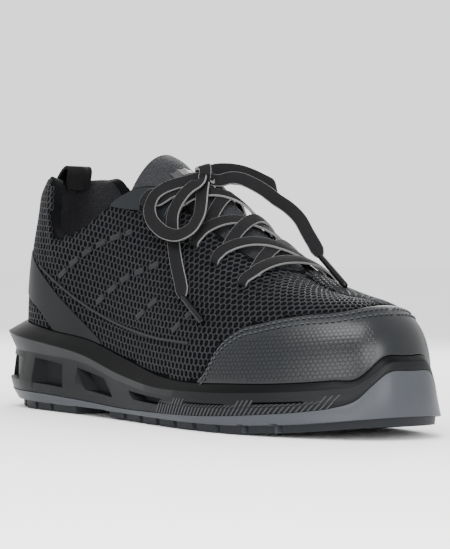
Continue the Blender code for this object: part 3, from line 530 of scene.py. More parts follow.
# Rows of small raised dashes on the side: share of the length, height over the floor
Mark = namedtuple("Mark", "share height")
DASH_ROWS = [
    [Mark(0.205, 0.0745), Mark(0.249, 0.0826), Mark(0.294, 0.0894), Mark(0.345, 0.0950),
     Mark(0.379, 0.0975), Mark(0.414, 0.1000)],
    [Mark(0.334, 0.0611), Mark(0.379, 0.0687), Mark(0.430, 0.0763), Mark(0.473, 0.0798),
     Mark(0.524, 0.0840)],
    [Mark(0.473, 0.0543), Mark(0.508, 0.0608), Mark(0.543, 0.0665)],
    [Mark(0.594, 0.0486), Mark(0.630, 0.0570), Mark(0.662, 0.0645)],
]

# Materials: colour, roughness, size of the grain, strength of its relief, how far the colour
# varies, gloss, depth of the relief, cells in place of noise, and a clear coat
Look = namedtuple("Look", "color rough grain bump vary gloss depth cells coat",
                  defaults=(0.0002, False, 0.0))
LOOKS = {
    "floor": Look((0.955, 0.955, 0.955), 0.85, 30.0, 0.02, 0.01, 0.1),
    "lace_black": Look((0.0035, 0.0035, 0.004), 0.75, 1500.0, 0.45, 0.40, 0.12),
    "lace_thread": Look((0.12, 0.12, 0.12), 0.6, 2500.0, 0.3, 0.3, 0.15),
    "tip_black": Look((0.002, 0.002, 0.0023), 0.30, 300.0, 0.05, 0.2, 0.13, coat=0.02),
    "knit_ground": Look((0.0012, 0.0013, 0.0016), 0.8, 1800.0, 0.6, 0.35, 0.05, 0.0003, True),
    "lining": Look((0.022, 0.022, 0.025), 0.85, 1200.0, 0.6, 0.35, 0.15, 0.0003, True),
    "tongue_knit": Look((0.013, 0.0136, 0.0152), 0.7, 900.0, 0.8, 0.5, 0.15, 0.0005, True),
    "net_ribs": Look((0.0125, 0.0132, 0.0150), 0.52, 1600.0, 0.2, 0.25, 0.16),
    "smooth_film": Look((0.0055, 0.0061, 0.0070), 0.5, 1400.0, 0.15, 0.14, 0.10),
    "stay_film": Look((0.0050, 0.0062, 0.0080), 0.42, 1400.0, 0.15, 0.14, 0.16),
    "cap_film": Look((0.0060, 0.0069, 0.0082), 0.34, 1500.0, 0.12, 0.20, 0.24, coat=0.06),
    "stitch_thread": Look((0.036, 0.0385, 0.042), 0.6, 2500.0, 0.2, 0.2, 0.2),
    # the dashes' own bluish film colour, also used on the seam pipe as a partly painted highlight
    "dash_film_and_pipe_highlight": Look((0.0098, 0.0106, 0.0120), 0.50, 1500.0, 0.15, 0.15, 0.13),
    "webbing": Look((0.003, 0.003, 0.0033), 0.8, 1300.0, 0.5, 0.3, 0.12, cells=True),
    "rubber_grey": Look((0.034, 0.0370, 0.0425), 0.42, 700.0, 0.06, 0.08, 0.20),
    "rubber_dark": Look((0.0105, 0.0115, 0.0135), 0.55, 700.0, 0.1, 0.15, 0.14),
    "cage": Look((0.0058, 0.0062, 0.0070), 0.42, 900.0, 0.06, 0.12, 0.10),
    # the band's lighter grey is painted light on the cage foam's outward face
    "cage_band_painted_light": Look((0.0165, 0.0172, 0.0188), 0.50, 900.0, 0.06, 0.10, 0.14),
    # the ledge's darker colour is painted shade on the cage foam's upward face
    "ledge": Look((0.0022, 0.0023, 0.0026), 0.40, 900.0, 0.06, 0.12, 0.055),
    # the band's painted light fading towards the plain cage
    "cage_fade_painted_light": Look((0.0105, 0.0110, 0.0122), 0.46, 900.0, 0.06, 0.10, 0.12),
    "hatch": Look((0.024, 0.0252, 0.0275), 0.5, 900.0, 0.06, 0.10, 0.2),
    # painted shade for the walls inside the windows
    "window_painted_shade": Look((0.0035, 0.0038, 0.0045), 0.5, 900.0, 0.1, 0.15, 0.08),
    "footbed": Look((0.007, 0.007, 0.008), 0.9, 1500.0, 0.4, 0.3, 0.15, cells=True),
    "label_plate": Look((0.024, 0.024, 0.026), 0.45, 900.0, 0.1, 0.15, 0.24),
}
ROUGH_SWEEP = 0.07
BROAD_NOISE = 22.0

# Camera, fitted to the photograph
CAMERA_TARGET = Vector((0.105, 0.0, 0.055))
CAMERA_REACH = 1.215147
CAMERA_TURN = np.radians(50.2978)
CAMERA_RISE = np.radians(1.8675)
CAMERA_ROLL = np.radians(0.84465)
CAMERA_FOCUS = 2275.7635
PICTURE = (450, 549)
PICTURE_MIDDLE = (213.788, 317.1932)
SENSOR = 36.0

# Studio: world, floor and soft lights
WORLD_LIGHT = 1.6
FLOOR_HALF = 6.0
FLOOR_DROP = 0.0002
Light = namedtuple("Light", "name place aim size energy")
LIGHTS = [
    Light("key", (0.55, -0.55, 0.85), (0.10, 0.0, 0.05), (0.7, 0.5), 13.0),
    Light("front", (1.05, -0.25, 0.30), (0.18, 0.0, 0.04), (0.5, 0.35), 5.5),
    Light("side", (0.62, -0.66, 0.12), (0.14, -0.03, 0.03), (0.5, 0.3), 3.0),
    Light("rim", (-0.45, 0.55, 0.60), (0.05, 0.0, 0.08), (0.6, 0.4), 8.0),
]

# Grid that distances over the upper are measured on, and its row for distances along the shoe
ALONG = np.linspace(0, 1, 361)
UPWARD = np.linspace(0, 1, 141)
CHART_ROW = 45
SHARP = np.radians(40)
WELD = 1e-6


def smooth(xs, ys, x):
    """Smooth curve through the points (xs, ys), read at x."""
    xs = np.asarray(xs, float)
    ys = np.asarray(ys, float)
    x = np.clip(np.asarray(x, float), xs[0], xs[-1])
    step = np.diff(xs)
    slope = np.diff(ys) / step
    tangent = np.empty_like(ys)
    tangent[0] = slope[0]
    tangent[-1] = slope[-1]
    tangent[1:-1] = (slope[:-1] * step[1:] + slope[1:] * step[:-1]) / (step[1:] + step[:-1])
    i = np.clip(np.searchsorted(xs, x) - 1, 0, len(xs) - 2)
    t = (x - xs[i]) / step[i]
    here = ys[i] * (1 + 2 * t) * (1 - t) ** 2 + tangent[i] * step[i] * t * (1 - t) ** 2
    there = ys[i + 1] * t * t * (3 - 2 * t) + tangent[i + 1] * step[i] * t * t * (t - 1)
    return here + there


def unit(vectors):
    """The same directions, each with a length of one."""
    return vectors / np.linalg.norm(vectors, axis=-1, keepdims=True)


def reach_along(points):
    """Distance of each point along the line through them."""
    return np.concatenate([[0], np.cumsum(np.linalg.norm(np.diff(points, axis=0), axis=1))])


def at_reach(at, reach, values):
    """Points or directions of a line, read at distances along it."""
    return np.stack([np.interp(at, reach, values[:, k]) for k in range(3)], -1)


def station(share):
    """Station from 0 at the heel to 1 at the toe, closer together at both ends."""
    return np.arccos(1 - 2 * np.asarray(share, float)) / np.pi


def share_at(s):
    """Share of the length at a station."""
    return (1 - np.cos(np.pi * np.asarray(s, float))) / 2


def column(table, name):
    return np.array([getattr(row, name) for row in table])


def read(table, name, s):
    """A table's column at a station."""
    return smooth(station(column(table, "share")), column(table, name), s)


def at_share(table, name, share):
    """A table's column at a share of the length."""
    return smooth(column(table, "share"), column(table, name), share)


def half_width(s, side):
    """Half width of the last: side -1 is the outer side of the foot and 1 the inner one."""
    rows = OUTLINE[1:-1]
    at = station(column(rows, "share"))
    widths = column(rows, "outer" if side < 0 else "inner") * BALL_WIDTH
    heel = np.sqrt(HEEL_ROUND * LENGTH / 2)
    toe = np.sqrt(TOE_ROUND * LENGTH / 2)
    fullness = np.concatenate([[heel], widths / np.sin(np.pi * at), [toe]])
    return smooth(np.concatenate([[0], at, [1]]), fullness, s) * np.sin(np.pi * np.asarray(s, float))


def centre(s):
    return read(OUTLINE, "centre", s) * BALL_WIDTH


def bed(s):
    """Height of the bed over the floor, which is the sole's stack there."""
    lift = (HEEL_STACK - BALL_STACK) * read(BED, "heel", s)
    return BALL_STACK + lift + TOE_SPRING * read(BED, "toe", s)


def rim(s):
    return bed(s) + RIM_HEIGHT * read(BED, "rim", s)


def crest_station(s):
    """Station where the section from outline station s meets the crest of the upper."""
    share = share_at(s)
    late = np.clip((share - 0.6) / 0.4, 0, 1)
    return station(share - (1 - TOE_POLE) * late ** 2)


def crest_rise(s):
    """Rise of the crest over the bed at outline station s."""
    top = crest_station(s)
    over = TOE_HEIGHT + (INSTEP_HEIGHT - TOE_HEIGHT) * read(CREST, "rise", top)
    return bed(top) + over - bed(s)


def skin(s, side, w):
    """Point of the last's surface: w runs from 0 at the bed to 1 at the crest."""
    s, w = np.broadcast_arrays(np.asarray(s, float), np.asarray(w, float))
    top = crest_station(s)
    power = 2 / read(CREST, "power", top)
    angle = np.clip(w, 0, 1) * np.pi / 2
    inward = 1 - np.cos(angle) ** power
    up = crest_rise(s) * np.sin(angle) ** power
    edge_y = centre(s) + side * half_width(s, side)
    edge_x = LENGTH * share_at(s)
    lean = smooth(column(LEAN, "height"), column(LEAN, "forward"), up)
    fade = np.clip(1 - s / LEAN_END, 0, 1) ** 2
    x = edge_x + (LENGTH * share_at(top) - edge_x) * inward + lean * fade - HEEL_SEAT
    y = edge_y + (centre(top) - edge_y) * inward
    return np.stack([x, y, bed(s) + up], -1)


def skin_normal(s, side, w):
    """Outward direction of the last's surface."""
    d = 1e-3
    s, w = np.broadcast_arrays(np.asarray(s, float), np.asarray(w, float))
    along = np.clip(s, d, 1 - d)
    upward = np.clip(w, d, 1 - d)
    run = skin(along + d, side, upward) - skin(along - d, side, upward)
    rise = skin(along, side, upward + d) - skin(along, side, upward - d)
    normal = np.cross(run, rise) * -side
    on_seam = (s <= 0) | (s >= 1) | (w >= 1)
    normal[..., 1] = np.where(on_seam, 0, normal[..., 1])
    return unit(normal)


def cover(s, side, w, proud):
    """The last's surface moved out by a distance, or in by a negative one."""
    proud = np.asarray(proud, float)[..., None]
    return skin(s, side, w) + skin_normal(s, side, w) * proud


def w_at_height(s, side, height):
    """Where the section passes a height over the floor."""
    up = np.clip((height - bed(s)) / crest_rise(s), 0, 1)
    return np.arcsin(up ** (read(CREST, "power", crest_station(s)) / 2)) * 2 / np.pi


def w_at_gap(s, side, gap):
    """Where the section comes within a distance of the middle of the foot."""
    top = crest_station(s)
    reach = np.abs(centre(s) + side * half_width(s, side) - centre(top))
    near = np.clip(gap / np.maximum(reach, 1e-6), 0, 1)
    return np.arccos(near ** (read(CREST, "power", top) / 2)) * 2 / np.pi


def collar_height(s):
    """Height of the collar's edge over the floor."""
    over = ANKLE_DIP + (COLLAR_BACK - ANKLE_DIP) * at_share(COLLAR, "rise", share_at(s))
    return HEEL_STACK + over


def throat_run(s):
    """Place along the throat, from 0 at its back to 1 at its front."""
    return np.clip((share_at(s) - THROAT_BACK) / (THROAT_FRONT - THROAT_BACK), 0, 1)


def throat_half(s):
    return THROAT_HALF + THROAT_SPREAD * throat_run(s)


def throat_gap(s):
    """Half the opening of the throat, round at its front."""
    return throat_half(s) * np.sqrt(1 - throat_run(s) ** 6)


def throat_half_at(share):
    """Half the throat's width, as one number."""
    return throat_half(np.array([station(share)]))[0]


def edge_w(s, side):
    """Where the upper ends, at its collar or its throat."""
    share = share_at(s)
    collar = np.where(share > COLLAR_FRONT, 1.0, w_at_height(s, side, collar_height(s)))
    throat = np.where(share < THROAT_BACK + 0.04, 1.0, w_at_gap(s, side, throat_gap(s)))
    return np.minimum(collar, throat)


def outward(s, side):
    """Direction out of the outline, level with the floor."""
    normal = skin_normal(s, side, np.zeros_like(s))
    normal[..., 2] = 0
    return unit(normal)


def side_line(s, side, out, height):
    """A line round the sole, at a distance out from the last's outline."""
    points = skin(s, side, np.zeros_like(s)) + outward(s, side) * np.asarray(out)[..., None]
    points[..., 2] = height
    return points


def grid_faces(rows, columns, first, flip):
    """Faces of a grid of points, outward on the outer side and flipped on the inner one."""
    faces = []
    for r in range(rows - 1):
        for c in range(columns - 1):
            i = first + r * columns + c
            face = [i, i + 1, i + columns + 1, i + columns]
            faces.append(face[::-1] if flip else face)
    return faces


def sheet_mesh(grids, weights=None):
    """One open surface from grids of points, each (side, points) with rows going up."""
    points = []
    faces = []
    for side, grid in grids:
        rows, columns = grid.shape[:2]
        faces += grid_faces(rows, columns, len(points), side > 0)
        points += list(grid.reshape(-1, 3))
    return welded(points, faces, weights)


def welded(points, faces, weights=None, numbers=None):
    """A mesh from points and faces, with points that meet joined into one."""
    bm = bmesh.new()
    deform = bm.verts.layers.deform.verify() if weights is not None else None
    verts = [bm.verts.new(tuple(p)) for p in points]
    for vert, weight in zip(verts, weights or []):
        vert[deform][0] = weight
    for face, number in zip(faces, numbers or [0] * len(faces)):
        bm.faces.new([verts[i] for i in face]).material_index = number
    bmesh.ops.remove_doubles(bm, verts=bm.verts, dist=WELD)
    return mesh_from(bm)


def mesh_from(bm, point_out=False):
    """A mesh with what was built, with its faces turned to point out if asked."""
    if point_out:
        bmesh.ops.recalc_face_normals(bm, faces=bm.faces)
    mesh = bpy.data.meshes.new("mesh")
    bm.to_mesh(mesh)
    bm.free()
    return mesh


def ring_mesh(rings, marks=None):
    """A closed body through rings of points, one after the other."""
    count, around = rings.shape[:2]
    faces = []
    for k in range(count - 1):
        for i in range(around):
            j = (i + 1) % around
            low, high = k * around, (k + 1) * around
            faces.append([low + i, low + j, high + j, high + i])
    faces.append(list(range(around))[::-1])
    faces.append([(count - 1) * around + i for i in range(around)])
    mesh = bpy.data.meshes.new("mesh")
    mesh.from_pydata(rings.reshape(-1, 3).tolist(), [], faces)
    if marks:
        mesh.polygons.foreach_set("material_index", marks)
    bm = bmesh.new()
    bm.from_mesh(mesh)
    bmesh.ops.recalc_face_normals(bm, faces=bm.faces)
    bm.to_mesh(mesh)
    bm.free()
    return mesh


def loop(outer, inner):
    """A closed line: out along the outer side and back along the inner one."""
    return np.concatenate([outer, inner[-2:0:-1]])


def unique(indices):
    return list(dict.fromkeys(indices))


def both(line):
    """The same line on the outer and the inner side."""
    return line(-1), line(1)


def add_solidify(obj, thickness, offset, group=None):
    wall = obj.modifiers.new("wall", "SOLIDIFY")
    wall.thickness = thickness
    wall.offset = offset
    wall.use_even_offset = True
    wall.use_quality_normals = True
    if group:
        obj.vertex_groups.new(name=group)
        wall.vertex_group = group
    return wall


def add_boolean(obj, cutter):
    cut = obj.modifiers.new("cut", "BOOLEAN")
    cut.operation = "DIFFERENCE"
    cut.solver = "EXACT"
    cut.object = cutter


def add_bevel(obj, width, segments=2, angle=40):
    round_off = obj.modifiers.new("round", "BEVEL")
    round_off.width = width
    round_off.segments = segments
    round_off.limit_method = "ANGLE"
    round_off.angle_limit = np.radians(angle)


def side_up(s, name):
    """Height over the floor of a line of the sole's side."""
    return read(SIDE, name + "_up", s) * bed(s)


def side_out(s, name):
    """How far a line of the sole's side stands out from the last's outline."""
    return read(SIDE, name + "_out", s) * SOLE_FLARE


def tread_height(s):
    """Height of the tread, which lies on the floor under the heel and the ball."""
    return np.maximum(read(SIDE, "tread", s), 0) * bed(s)


def rubber_line(s, side, name):
    """A line of the sole's side."""
    return side_line(s, side, side_out(s, name), side_up(s, name))


def build_grooves(cutters):
    """Blocks that cut the grooves between the lugs."""
    bm = bmesh.new()
    deep = 3 * LUG_DEPTH
    for groove in GROOVES:
        s = station(groove.share)
        top = float(tread_height(s)) + LUG_DEPTH
        middle = (LENGTH * groove.share - HEEL_SEAT, float(centre(s)), top - deep / 2)
        turn = Matrix.Rotation(np.radians(groove.turn), 4, "Z")
        size = Matrix.Diagonal((groove.long, 2 * BALL_WIDTH, deep, 1))
        bmesh.ops.create_cube(bm, size=1, matrix=Matrix.Translation(middle) @ turn @ size)
    return cutter_object("grooves", bm, cutters)


def build_channels(cutters):
    """Bars that cut the channels along the tread."""
    bm = bmesh.new()
    for channel in CHANNELS:
        s = station(np.linspace(channel.back, channel.front, 6))
        x = LENGTH * share_at(s) - HEEL_SEAT
        top = tread_height(s) + LUG_DEPTH - SEAT
        low = top - 3 * LUG_DEPTH
        middle = centre(s) + channel.across * BALL_WIDTH
        edges = []
        for turn, height in ((-1, low), (-1, top), (1, top), (1, low)):
            edges.append(np.stack([x, middle + turn * CHANNEL_WIDTH / 2, height], -1))
        add_block(bm, edges)
    return cutter_object("channels", bm, cutters)


def cutter_object(name, bm, cutters):
    """A hidden shape that others are cut with."""
    obj = bpy.data.objects.new(name, mesh_from(bm))
    cutters.objects.link(obj)
    obj.hide_render = True
    obj.display_type = "WIRE"
    return obj


def add_block(bm, edges, flip=False):
    """A closed bar through four long edges, given in order round its end."""
    count = len(edges[0])
    verts = [[bm.verts.new(tuple(p)) for p in edge] for edge in edges]
    faces = []
    for a in range(4):
        b = (a + 1) % 4
        for i in range(count - 1):
            faces.append([verts[a][i], verts[a][i + 1], verts[b][i + 1], verts[b][i]])
    faces.append([verts[a][0] for a in range(4)])
    faces.append([verts[a][-1] for a in (3, 2, 1, 0)])
    for face in faces:
        bm.faces.new(face[::-1] if flip else face)


def add_bar(bm, spine, up, across, half, low, high):
    """A closed bar along a spine: half its width to each side, between two heights over it."""
    wide = across * half
    add_block(bm, [spine - wide + up * low, spine + wide + up * low,
                   spine + wide + up * high, spine - wide + up * high])


def wall_share(s, side, w):
    """Thickness of the upper as a share of its padded collar."""
    plain = UPPER_WALL / COLLAR_WALL
    height = skin(s, side, w)[..., 2]
    near = 1 - np.clip((collar_height(s) - height) / COLLAR_PAD_DEPTH - 0.4, 0, 1)
    back = np.clip((PAD_FRONT - share_at(s)) / PAD_FADE, 0, 1)
    blend = near * near * (3 - 2 * near) * back
    return plain + (1 - plain) * blend


def eyelets(proud=0.0):
    """Places of the eyelets, each turned to face outward."""
    for share in EYELET_SHARES:
        for side in (-1, 1):
            s = np.array([station(share)])
            w = w_at_gap(s, side, throat_half(s) + EYELET_INSET)
            point = Vector(cover(s, side, w, np.array([proud]))[0])
            normal = Vector(skin_normal(s, side, w)[0])
            yield Matrix.Translation(point) @ normal.to_track_quat("Z", "Y").to_matrix().to_4x4()


def build_eyelets(cutters):
    """Rods that cut the eyelet holes."""
    bm = bmesh.new()
    for place in eyelets():
        bmesh.ops.create_cone(bm, cap_ends=True, segments=8, radius1=EYELET_SIZE / 2,
                              radius2=EYELET_SIZE / 2, depth=4 * COLLAR_WALL, matrix=place)
    return cutter_object("eyelet_holes", bm, cutters)


def over_collar(table, name, s):
    """A height over the floor, read as a share of the collar's height over the heel bed."""
    return HEEL_STACK + COLLAR_BACK * at_share(table, name, share_at(s))


def smooth_route(points, per_span):
    """A smooth curve through a route's points."""
    points = np.asarray(points, float)
    at = reach_along(points)
    fine = np.linspace(0, at[-1], per_span * (len(points) - 1) + 1)
    return np.stack([smooth(at, points[:, k], fine) for k in range(3)], -1)


def surface(name):
    """A material whose colour, roughness and bump vary with noise or with small cells."""
    look = LOOKS[name]
    mat = bpy.data.materials.new(name)
    mat.use_nodes = True
    tree = mat.node_tree
    join = tree.links.new

    def node(kind, **values):
        made = tree.nodes.new("ShaderNode" + kind)
        for socket, value in values.items():
            made.inputs[socket.replace("_", " ")].default_value = value
        return made

    shader = tree.nodes["Principled BSDF"]
    shader.inputs["Specular IOR Level"].default_value = look.gloss
    shader.inputs["Coat Weight"].default_value = look.coat
    shader.inputs["Coat Roughness"].default_value = 0.25
    coords = node("TexCoord").outputs["Object"]
    broad = node("TexNoise", Scale=BROAD_NOISE, Detail=4.0)
    join(coords, broad.inputs["Vector"])
    if look.cells:
        fine = node("TexVoronoi", Scale=look.grain)
        height = fine.outputs["Distance"]
    else:
        fine = node("TexNoise", Scale=look.grain, Detail=3.0)
        height = fine.outputs["Fac"]
    join(coords, fine.inputs["Vector"])
    blend = node("Math")
    blend.operation = "ADD"
    join(broad.outputs["Fac"], blend.inputs[0])
    join(height, blend.inputs[1])
    spread = node("MapRange", From_Min=0.55, From_Max=1.35)
    join(blend.outputs[0], spread.inputs["Value"])
    tint = node("Mix")
    tint.data_type = "RGBA"
    for socket, turn in ((6, -1), (7, 1)):
        tint.inputs[socket].default_value = (*[c * (1 + turn * look.vary) for c in look.color], 1)
    join(spread.outputs[0], tint.inputs[0])
    join(tint.outputs[2], shader.inputs["Base Color"])
    shine = node("MapRange", From_Min=0.3, From_Max=0.7,
                 To_Min=look.rough - ROUGH_SWEEP, To_Max=look.rough + ROUGH_SWEEP)
    join(broad.outputs["Fac"], shine.inputs["Value"])
    join(shine.outputs[0], shader.inputs["Roughness"])
    bump = node("Bump", Strength=look.bump, Distance=look.depth)
    join(height, bump.inputs["Height"])
    join(bump.outputs["Normal"], shader.inputs["Normal"])
    return mat


def piece(name, mesh, looks, nodes=()):
    """An object of the scene that rides on the shoe and stands for the named nodes."""
    mesh.name = name
    obj = bpy.data.objects.new(name, mesh)
    bpy.context.scene.collection.objects.link(obj)
    for look in looks:
        mesh.materials.append(look)
    mesh.shade_smooth()
    mesh.set_sharp_from_angle(angle=SHARP)
    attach(obj, "root")
    if nodes:
        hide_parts(*nodes)
    return obj


def settled(obj):
    """The object with its modifiers worked into its mesh."""
    graph = bpy.context.evaluated_depsgraph_get()
    mesh = bpy.data.meshes.new_from_object(obj.evaluated_get(graph))
    obj.modifiers.clear()
    obj.data = mesh
    mesh.shade_smooth()
    mesh.set_sharp_from_angle(angle=SHARP)
    return obj


def relief(s, side, w):
    """Soft shape over the plain last: the padded collar, and the creases over the ball."""
    share = share_at(s)
    under = (collar_height(s) - skin(s, side, w)[..., 2]) / COLLAR_PAD_DEPTH
    back = np.clip((PAD_FRONT - share) / PAD_FADE, 0, 1)
    puff = np.exp(-((under - PUFF_MIDDLE) / PUFF_SPREAD) ** 2) * back
    across = np.clip((w - CREASE_START) / CREASE_RUN, 0, 1)
    crease = np.zeros_like(share)
    for fold in CREASES:
        crease += np.exp(-((share - fold.share - fold.turn * (1 - w)) / CREASE_HALF) ** 2)
    return PUFF_RISE * puff - CREASE_DEPTH * crease * across


def dressed(s, side, w, proud=0.0):
    """The upper's outside, with its soft shape."""
    s, w = np.broadcast_arrays(np.asarray(s, float), np.asarray(w, float))
    return cover(s, side, w, relief(s, side, w) + proud)


class Chart:
    """Distances over the upper's side: along its middle height, and up from the bed."""

    def __init__(self, side):
        self.side = side
        s, w = np.meshgrid(ALONG, UPWARD, indexing="ij")
        points = skin(s, side, w)
        steps = np.linalg.norm(np.diff(points, axis=1), axis=-1)
        self.up = np.concatenate([np.zeros((len(ALONG), 1)), np.cumsum(steps, axis=1)], axis=1)
        self.along = reach_along(points[:, CHART_ROW])

    def nearest(self, s):
        """Number of the chart's column nearest to each station."""
        return np.clip(np.rint(s * (len(ALONG) - 1)).astype(int), 0, len(ALONG) - 1)

    def place(self, along, up):
        """Station and share of the way up, for distances over the surface."""
        s = np.interp(along, self.along, ALONG)
        w = np.empty_like(s)
        nearest = self.nearest(s)
        for k in np.unique(nearest):
            here = nearest == k
            w[here] = np.interp(up[here], self.up[k], UPWARD)
        return s, w

    def up_at(self, s, w):
        return np.array([np.interp(b, UPWARD, self.up[k]) for k, b in zip(self.nearest(s), w)])


def cell_mesh(side, pitch, keep, levels, closed):
    """Six-sided cells over the upper; each level gives a ring's share of the cell and its rise."""
    chart = Chart(side)
    radius = pitch / np.sqrt(3)
    columns = int(chart.along[-1] / pitch) + 2
    rows = int(chart.up.max() / (1.5 * radius)) + 2
    c, r = np.meshgrid(np.arange(columns), np.arange(rows), indexing="ij")
    along = ((c + 0.5 * (r % 2)) * pitch).ravel()
    up = (r * 1.5 * radius).ravel()
    inside = (along < chart.along[-1]) & (up < chart.up.max())
    inside &= keep(chart, *chart.place(along, up))
    along = along[inside]
    up = up[inside]
    turn = np.radians(30 + 60 * np.arange(6))
    points = []
    for size, rise in levels:
        ring_along = along[:, None] + size * radius * np.cos(turn)
        ring_up = up[:, None] + size * radius * np.sin(turn)
        s, w = chart.place(ring_along.ravel(), np.maximum(ring_up.ravel(), 0))
        w = np.clip(w, w_at_height(s, side, rim(s) + SEAT), edge_w(s, side))
        points.append(dressed(s, side, w, rise(s, side, w)).reshape(-1, 6, 3))
    points = np.stack(points, axis=1)
    depth = len(levels)
    faces = []
    for base in range(0, len(along) * depth * 6, depth * 6):
        for k in range(depth - 1):
            for i in range(6):
                a = base + k * 6 + i
                b = base + k * 6 + (i + 1) % 6
                faces.append([a, b, b + 6, a + 6])
        if closed:
            faces.append([base + (depth - 1) * 6 + i for i in range(6)])
    if side > 0:
        faces = [face[::-1] for face in faces]
    mesh = bpy.data.meshes.new("mesh")
    mesh.from_pydata(points.reshape(-1, 3).tolist(), [], faces)
    bm = bmesh.new()
    bm.from_mesh(mesh)
    bmesh.ops.remove_doubles(bm, verts=bm.verts, dist=2e-5)
    bmesh.ops.dissolve_degenerate(bm, edges=bm.edges, dist=WELD)
    bm.to_mesh(mesh)
    bm.free()
    return mesh


def cap_top(s):
    """Height over the floor of the toe cap's upper edge."""
    return bed(s) + at_share(CAP, "rise", share_at(s)) * TOE_HEIGHT


def in_cap(s, height, margin):
    """Whether a place lies under the toe cap's upper edge, moved up by a margin."""
    return (share_at(s) > CAP[0].share) & (height < cap_top(s) + margin)


def net_keep(chart, s, w):
    """Where the net shows: not under the smooth films, and clear of the upper's edges."""
    side = chart.side
    share = share_at(s)
    height = skin(s, side, w)[..., 2]
    keep = height > rim(s) + 0.5 * NET_MARGIN
    top = chart.up_at(s, edge_w(s, side))
    keep &= chart.up_at(s, w) < top - NET_MARGIN
    keep &= ~in_cap(s, height, 0.5 * NET_MARGIN)
    in_band = (height > over_collar(BAND, "low", s)) & (height < over_collar(BAND, "high", s))
    keep &= ~((share < BAND[-1].share) & in_band)
    in_stay = height > over_collar(STAY, "low", s)
    keep &= ~((share > STAY[0].share) & (share < STAY[-1].share) & in_stay)
    return keep


def cap_keep(chart, s, w):
    """Where the toe cap has cells: clear of its edges and stitches."""
    height = skin(s, chart.side, w)[..., 2]
    keep = in_cap(s, height, -CELL_MARGIN_TOP) & (height > rim(s) + CELL_MARGIN_LOW)
    return keep & (share_at(s) > CAP[0].share + CELL_MARGIN_BACK)


def net_rise(part):
    """Height of a ring of the net's cells, the same all over."""
    return lambda s, side, w: np.full_like(s, NET_RISE * part)


def cell_rise(part):
    """Height of a ring of the toe cap's cells, lower towards the front and the top of the toe."""
    def rise(s, side, w):
        height = skin(s, side, w)[..., 2] - bed(s)
        ahead = np.clip((CELL_FADE_SHARE - share_at(s)) / CELL_FADE_RUN, 0.0, 1)
        above = np.clip((CELL_FADE_HEIGHT - height) / CELL_FADE_FALL, CELL_LEAST, 1)
        return OVERLAY_WALL + FIT - CELL_SINK + CELL_RISE * part * (ahead * above)
    return rise


NET_LEVELS = [(1.0, net_rise(1.0)), (0.88, net_rise(0.92)), (0.78, net_rise(0.0))]
CELL_LEVELS = [(0.94, cell_rise(0.0)), (0.84, cell_rise(0.9)), (0.60, cell_rise(1.0))]


def build_net(side, word, looks):
    """The raised net over the knit."""
    return piece("net_" + word, cell_mesh(side, NET_PITCH, net_keep, NET_LEVELS, False), looks)


def build_shell(looks, eyelet_holes):
    """The knitted upper with its padded collar, its inside in the lining's look."""
    s = np.sort(np.concatenate([np.linspace(0, 1, 171), station(EXTRA_STATIONS)]))
    rows = 44
    grids = []
    weights = []
    for side in (-1, 1):
        w = edge_w(s, side) * (np.arange(rows + 1) / rows)[:, None]
        w[0] = w_at_height(s, side, bed(s) + SEAT)
        along = np.broadcast_to(s, w.shape)
        grids.append((side, dressed(along, side, w)))
        weights += list(wall_share(along, side, w).reshape(-1))
    shell = piece("shell", sheet_mesh(grids, weights), looks, ["upper"])
    add_solidify(shell, COLLAR_WALL, -1, "wall").material_offset = 1
    add_bevel(shell, SHELL_ROUND, 3, 55)
    add_boolean(shell, eyelet_holes)
    settled(shell)


def film(name, grids, wall, looks, nodes=(), cutter=None, bevel=0.0):
    """A thin layer over the upper."""
    obj = piece(name, sheet_mesh(grids), looks, nodes)
    add_solidify(obj, wall, 1)
    if bevel:
        add_bevel(obj, bevel, 2, 50)
    if cutter:
        add_boolean(obj, cutter)
    return settled(obj)


def film_grid(s, side, low, high, rows, proud):
    low_w = w_at_height(s, side, low)
    high_w = np.minimum(w_at_height(s, side, high), edge_w(s, side))
    w = low_w + (high_w - low_w) * np.linspace(0, 1, rows)[:, None]
    return dressed(np.broadcast_to(s, w.shape), side, w, np.full(w.shape, proud))


def build_cap(looks, stitch_looks):
    """The toe cap, with its pressed cells and two rows of stitches along its edge."""
    s = np.linspace(station(CAP[0].share), 1, 90)
    fine = np.linspace(s[0] + STITCH_START, 1, 500)
    grids = []
    rows = []
    for side, word in SIDES:
        grids.append((side, film_grid(s, side, rim(s) + SEAT, cap_top(s), 34, FIT)))
        for inset in STITCH_INSETS:
            w = w_at_height(fine, side, cap_top(fine) - inset)
            rows.append((dressed(fine, side, w, OVERLAY_WALL + FIT + FILM_RISE),
                         skin_normal(fine, side, w)))
        cells = cell_mesh(side, CELL_PITCH, cap_keep, CELL_LEVELS, True)
        piece("cap_cells_" + word, cells, looks)
    film("cap", grids, OVERLAY_WALL, looks, ["toe_cap"], bevel=FILM_ROUND)
    build_stitches("cap_stitches", rows, stitch_looks)


def stretches(points, normals, long, step, parts, least):
    """Short stretches along a line; the last one is at least a share of a whole one."""
    reach = reach_along(points)
    for start in np.arange(0, reach[-1] - least * long, step):
        at = np.minimum(start + long * parts, reach[-1])
        yield at_reach(at, reach, points), at_reach(at, reach, normals)


def build_stitches(name, rows, looks):
    """Short raised stitches along lines of points, their ends thin and sunk."""
    bm = bmesh.new()
    parts = np.array([0.0, 0.2, 0.8, 1.0])
    rise = np.array([-0.4, 0.6, 0.6, -0.4])[:, None] * STITCH_SIZE
    thick = np.array([0.5, 1.0, 1.0, 0.5])[:, None] * STITCH_SIZE / 2
    for points, normals in rows:
        for spine, up in stretches(points, normals, STITCH_LONG, STITCH_STEP, parts, 1.0):
            across = unit(np.cross(up, spine[-1] - spine[0]))
            add_bar(bm, spine + up * rise, up, across, thick, -thick, thick)
    return piece(name, mesh_from(bm, True), looks)


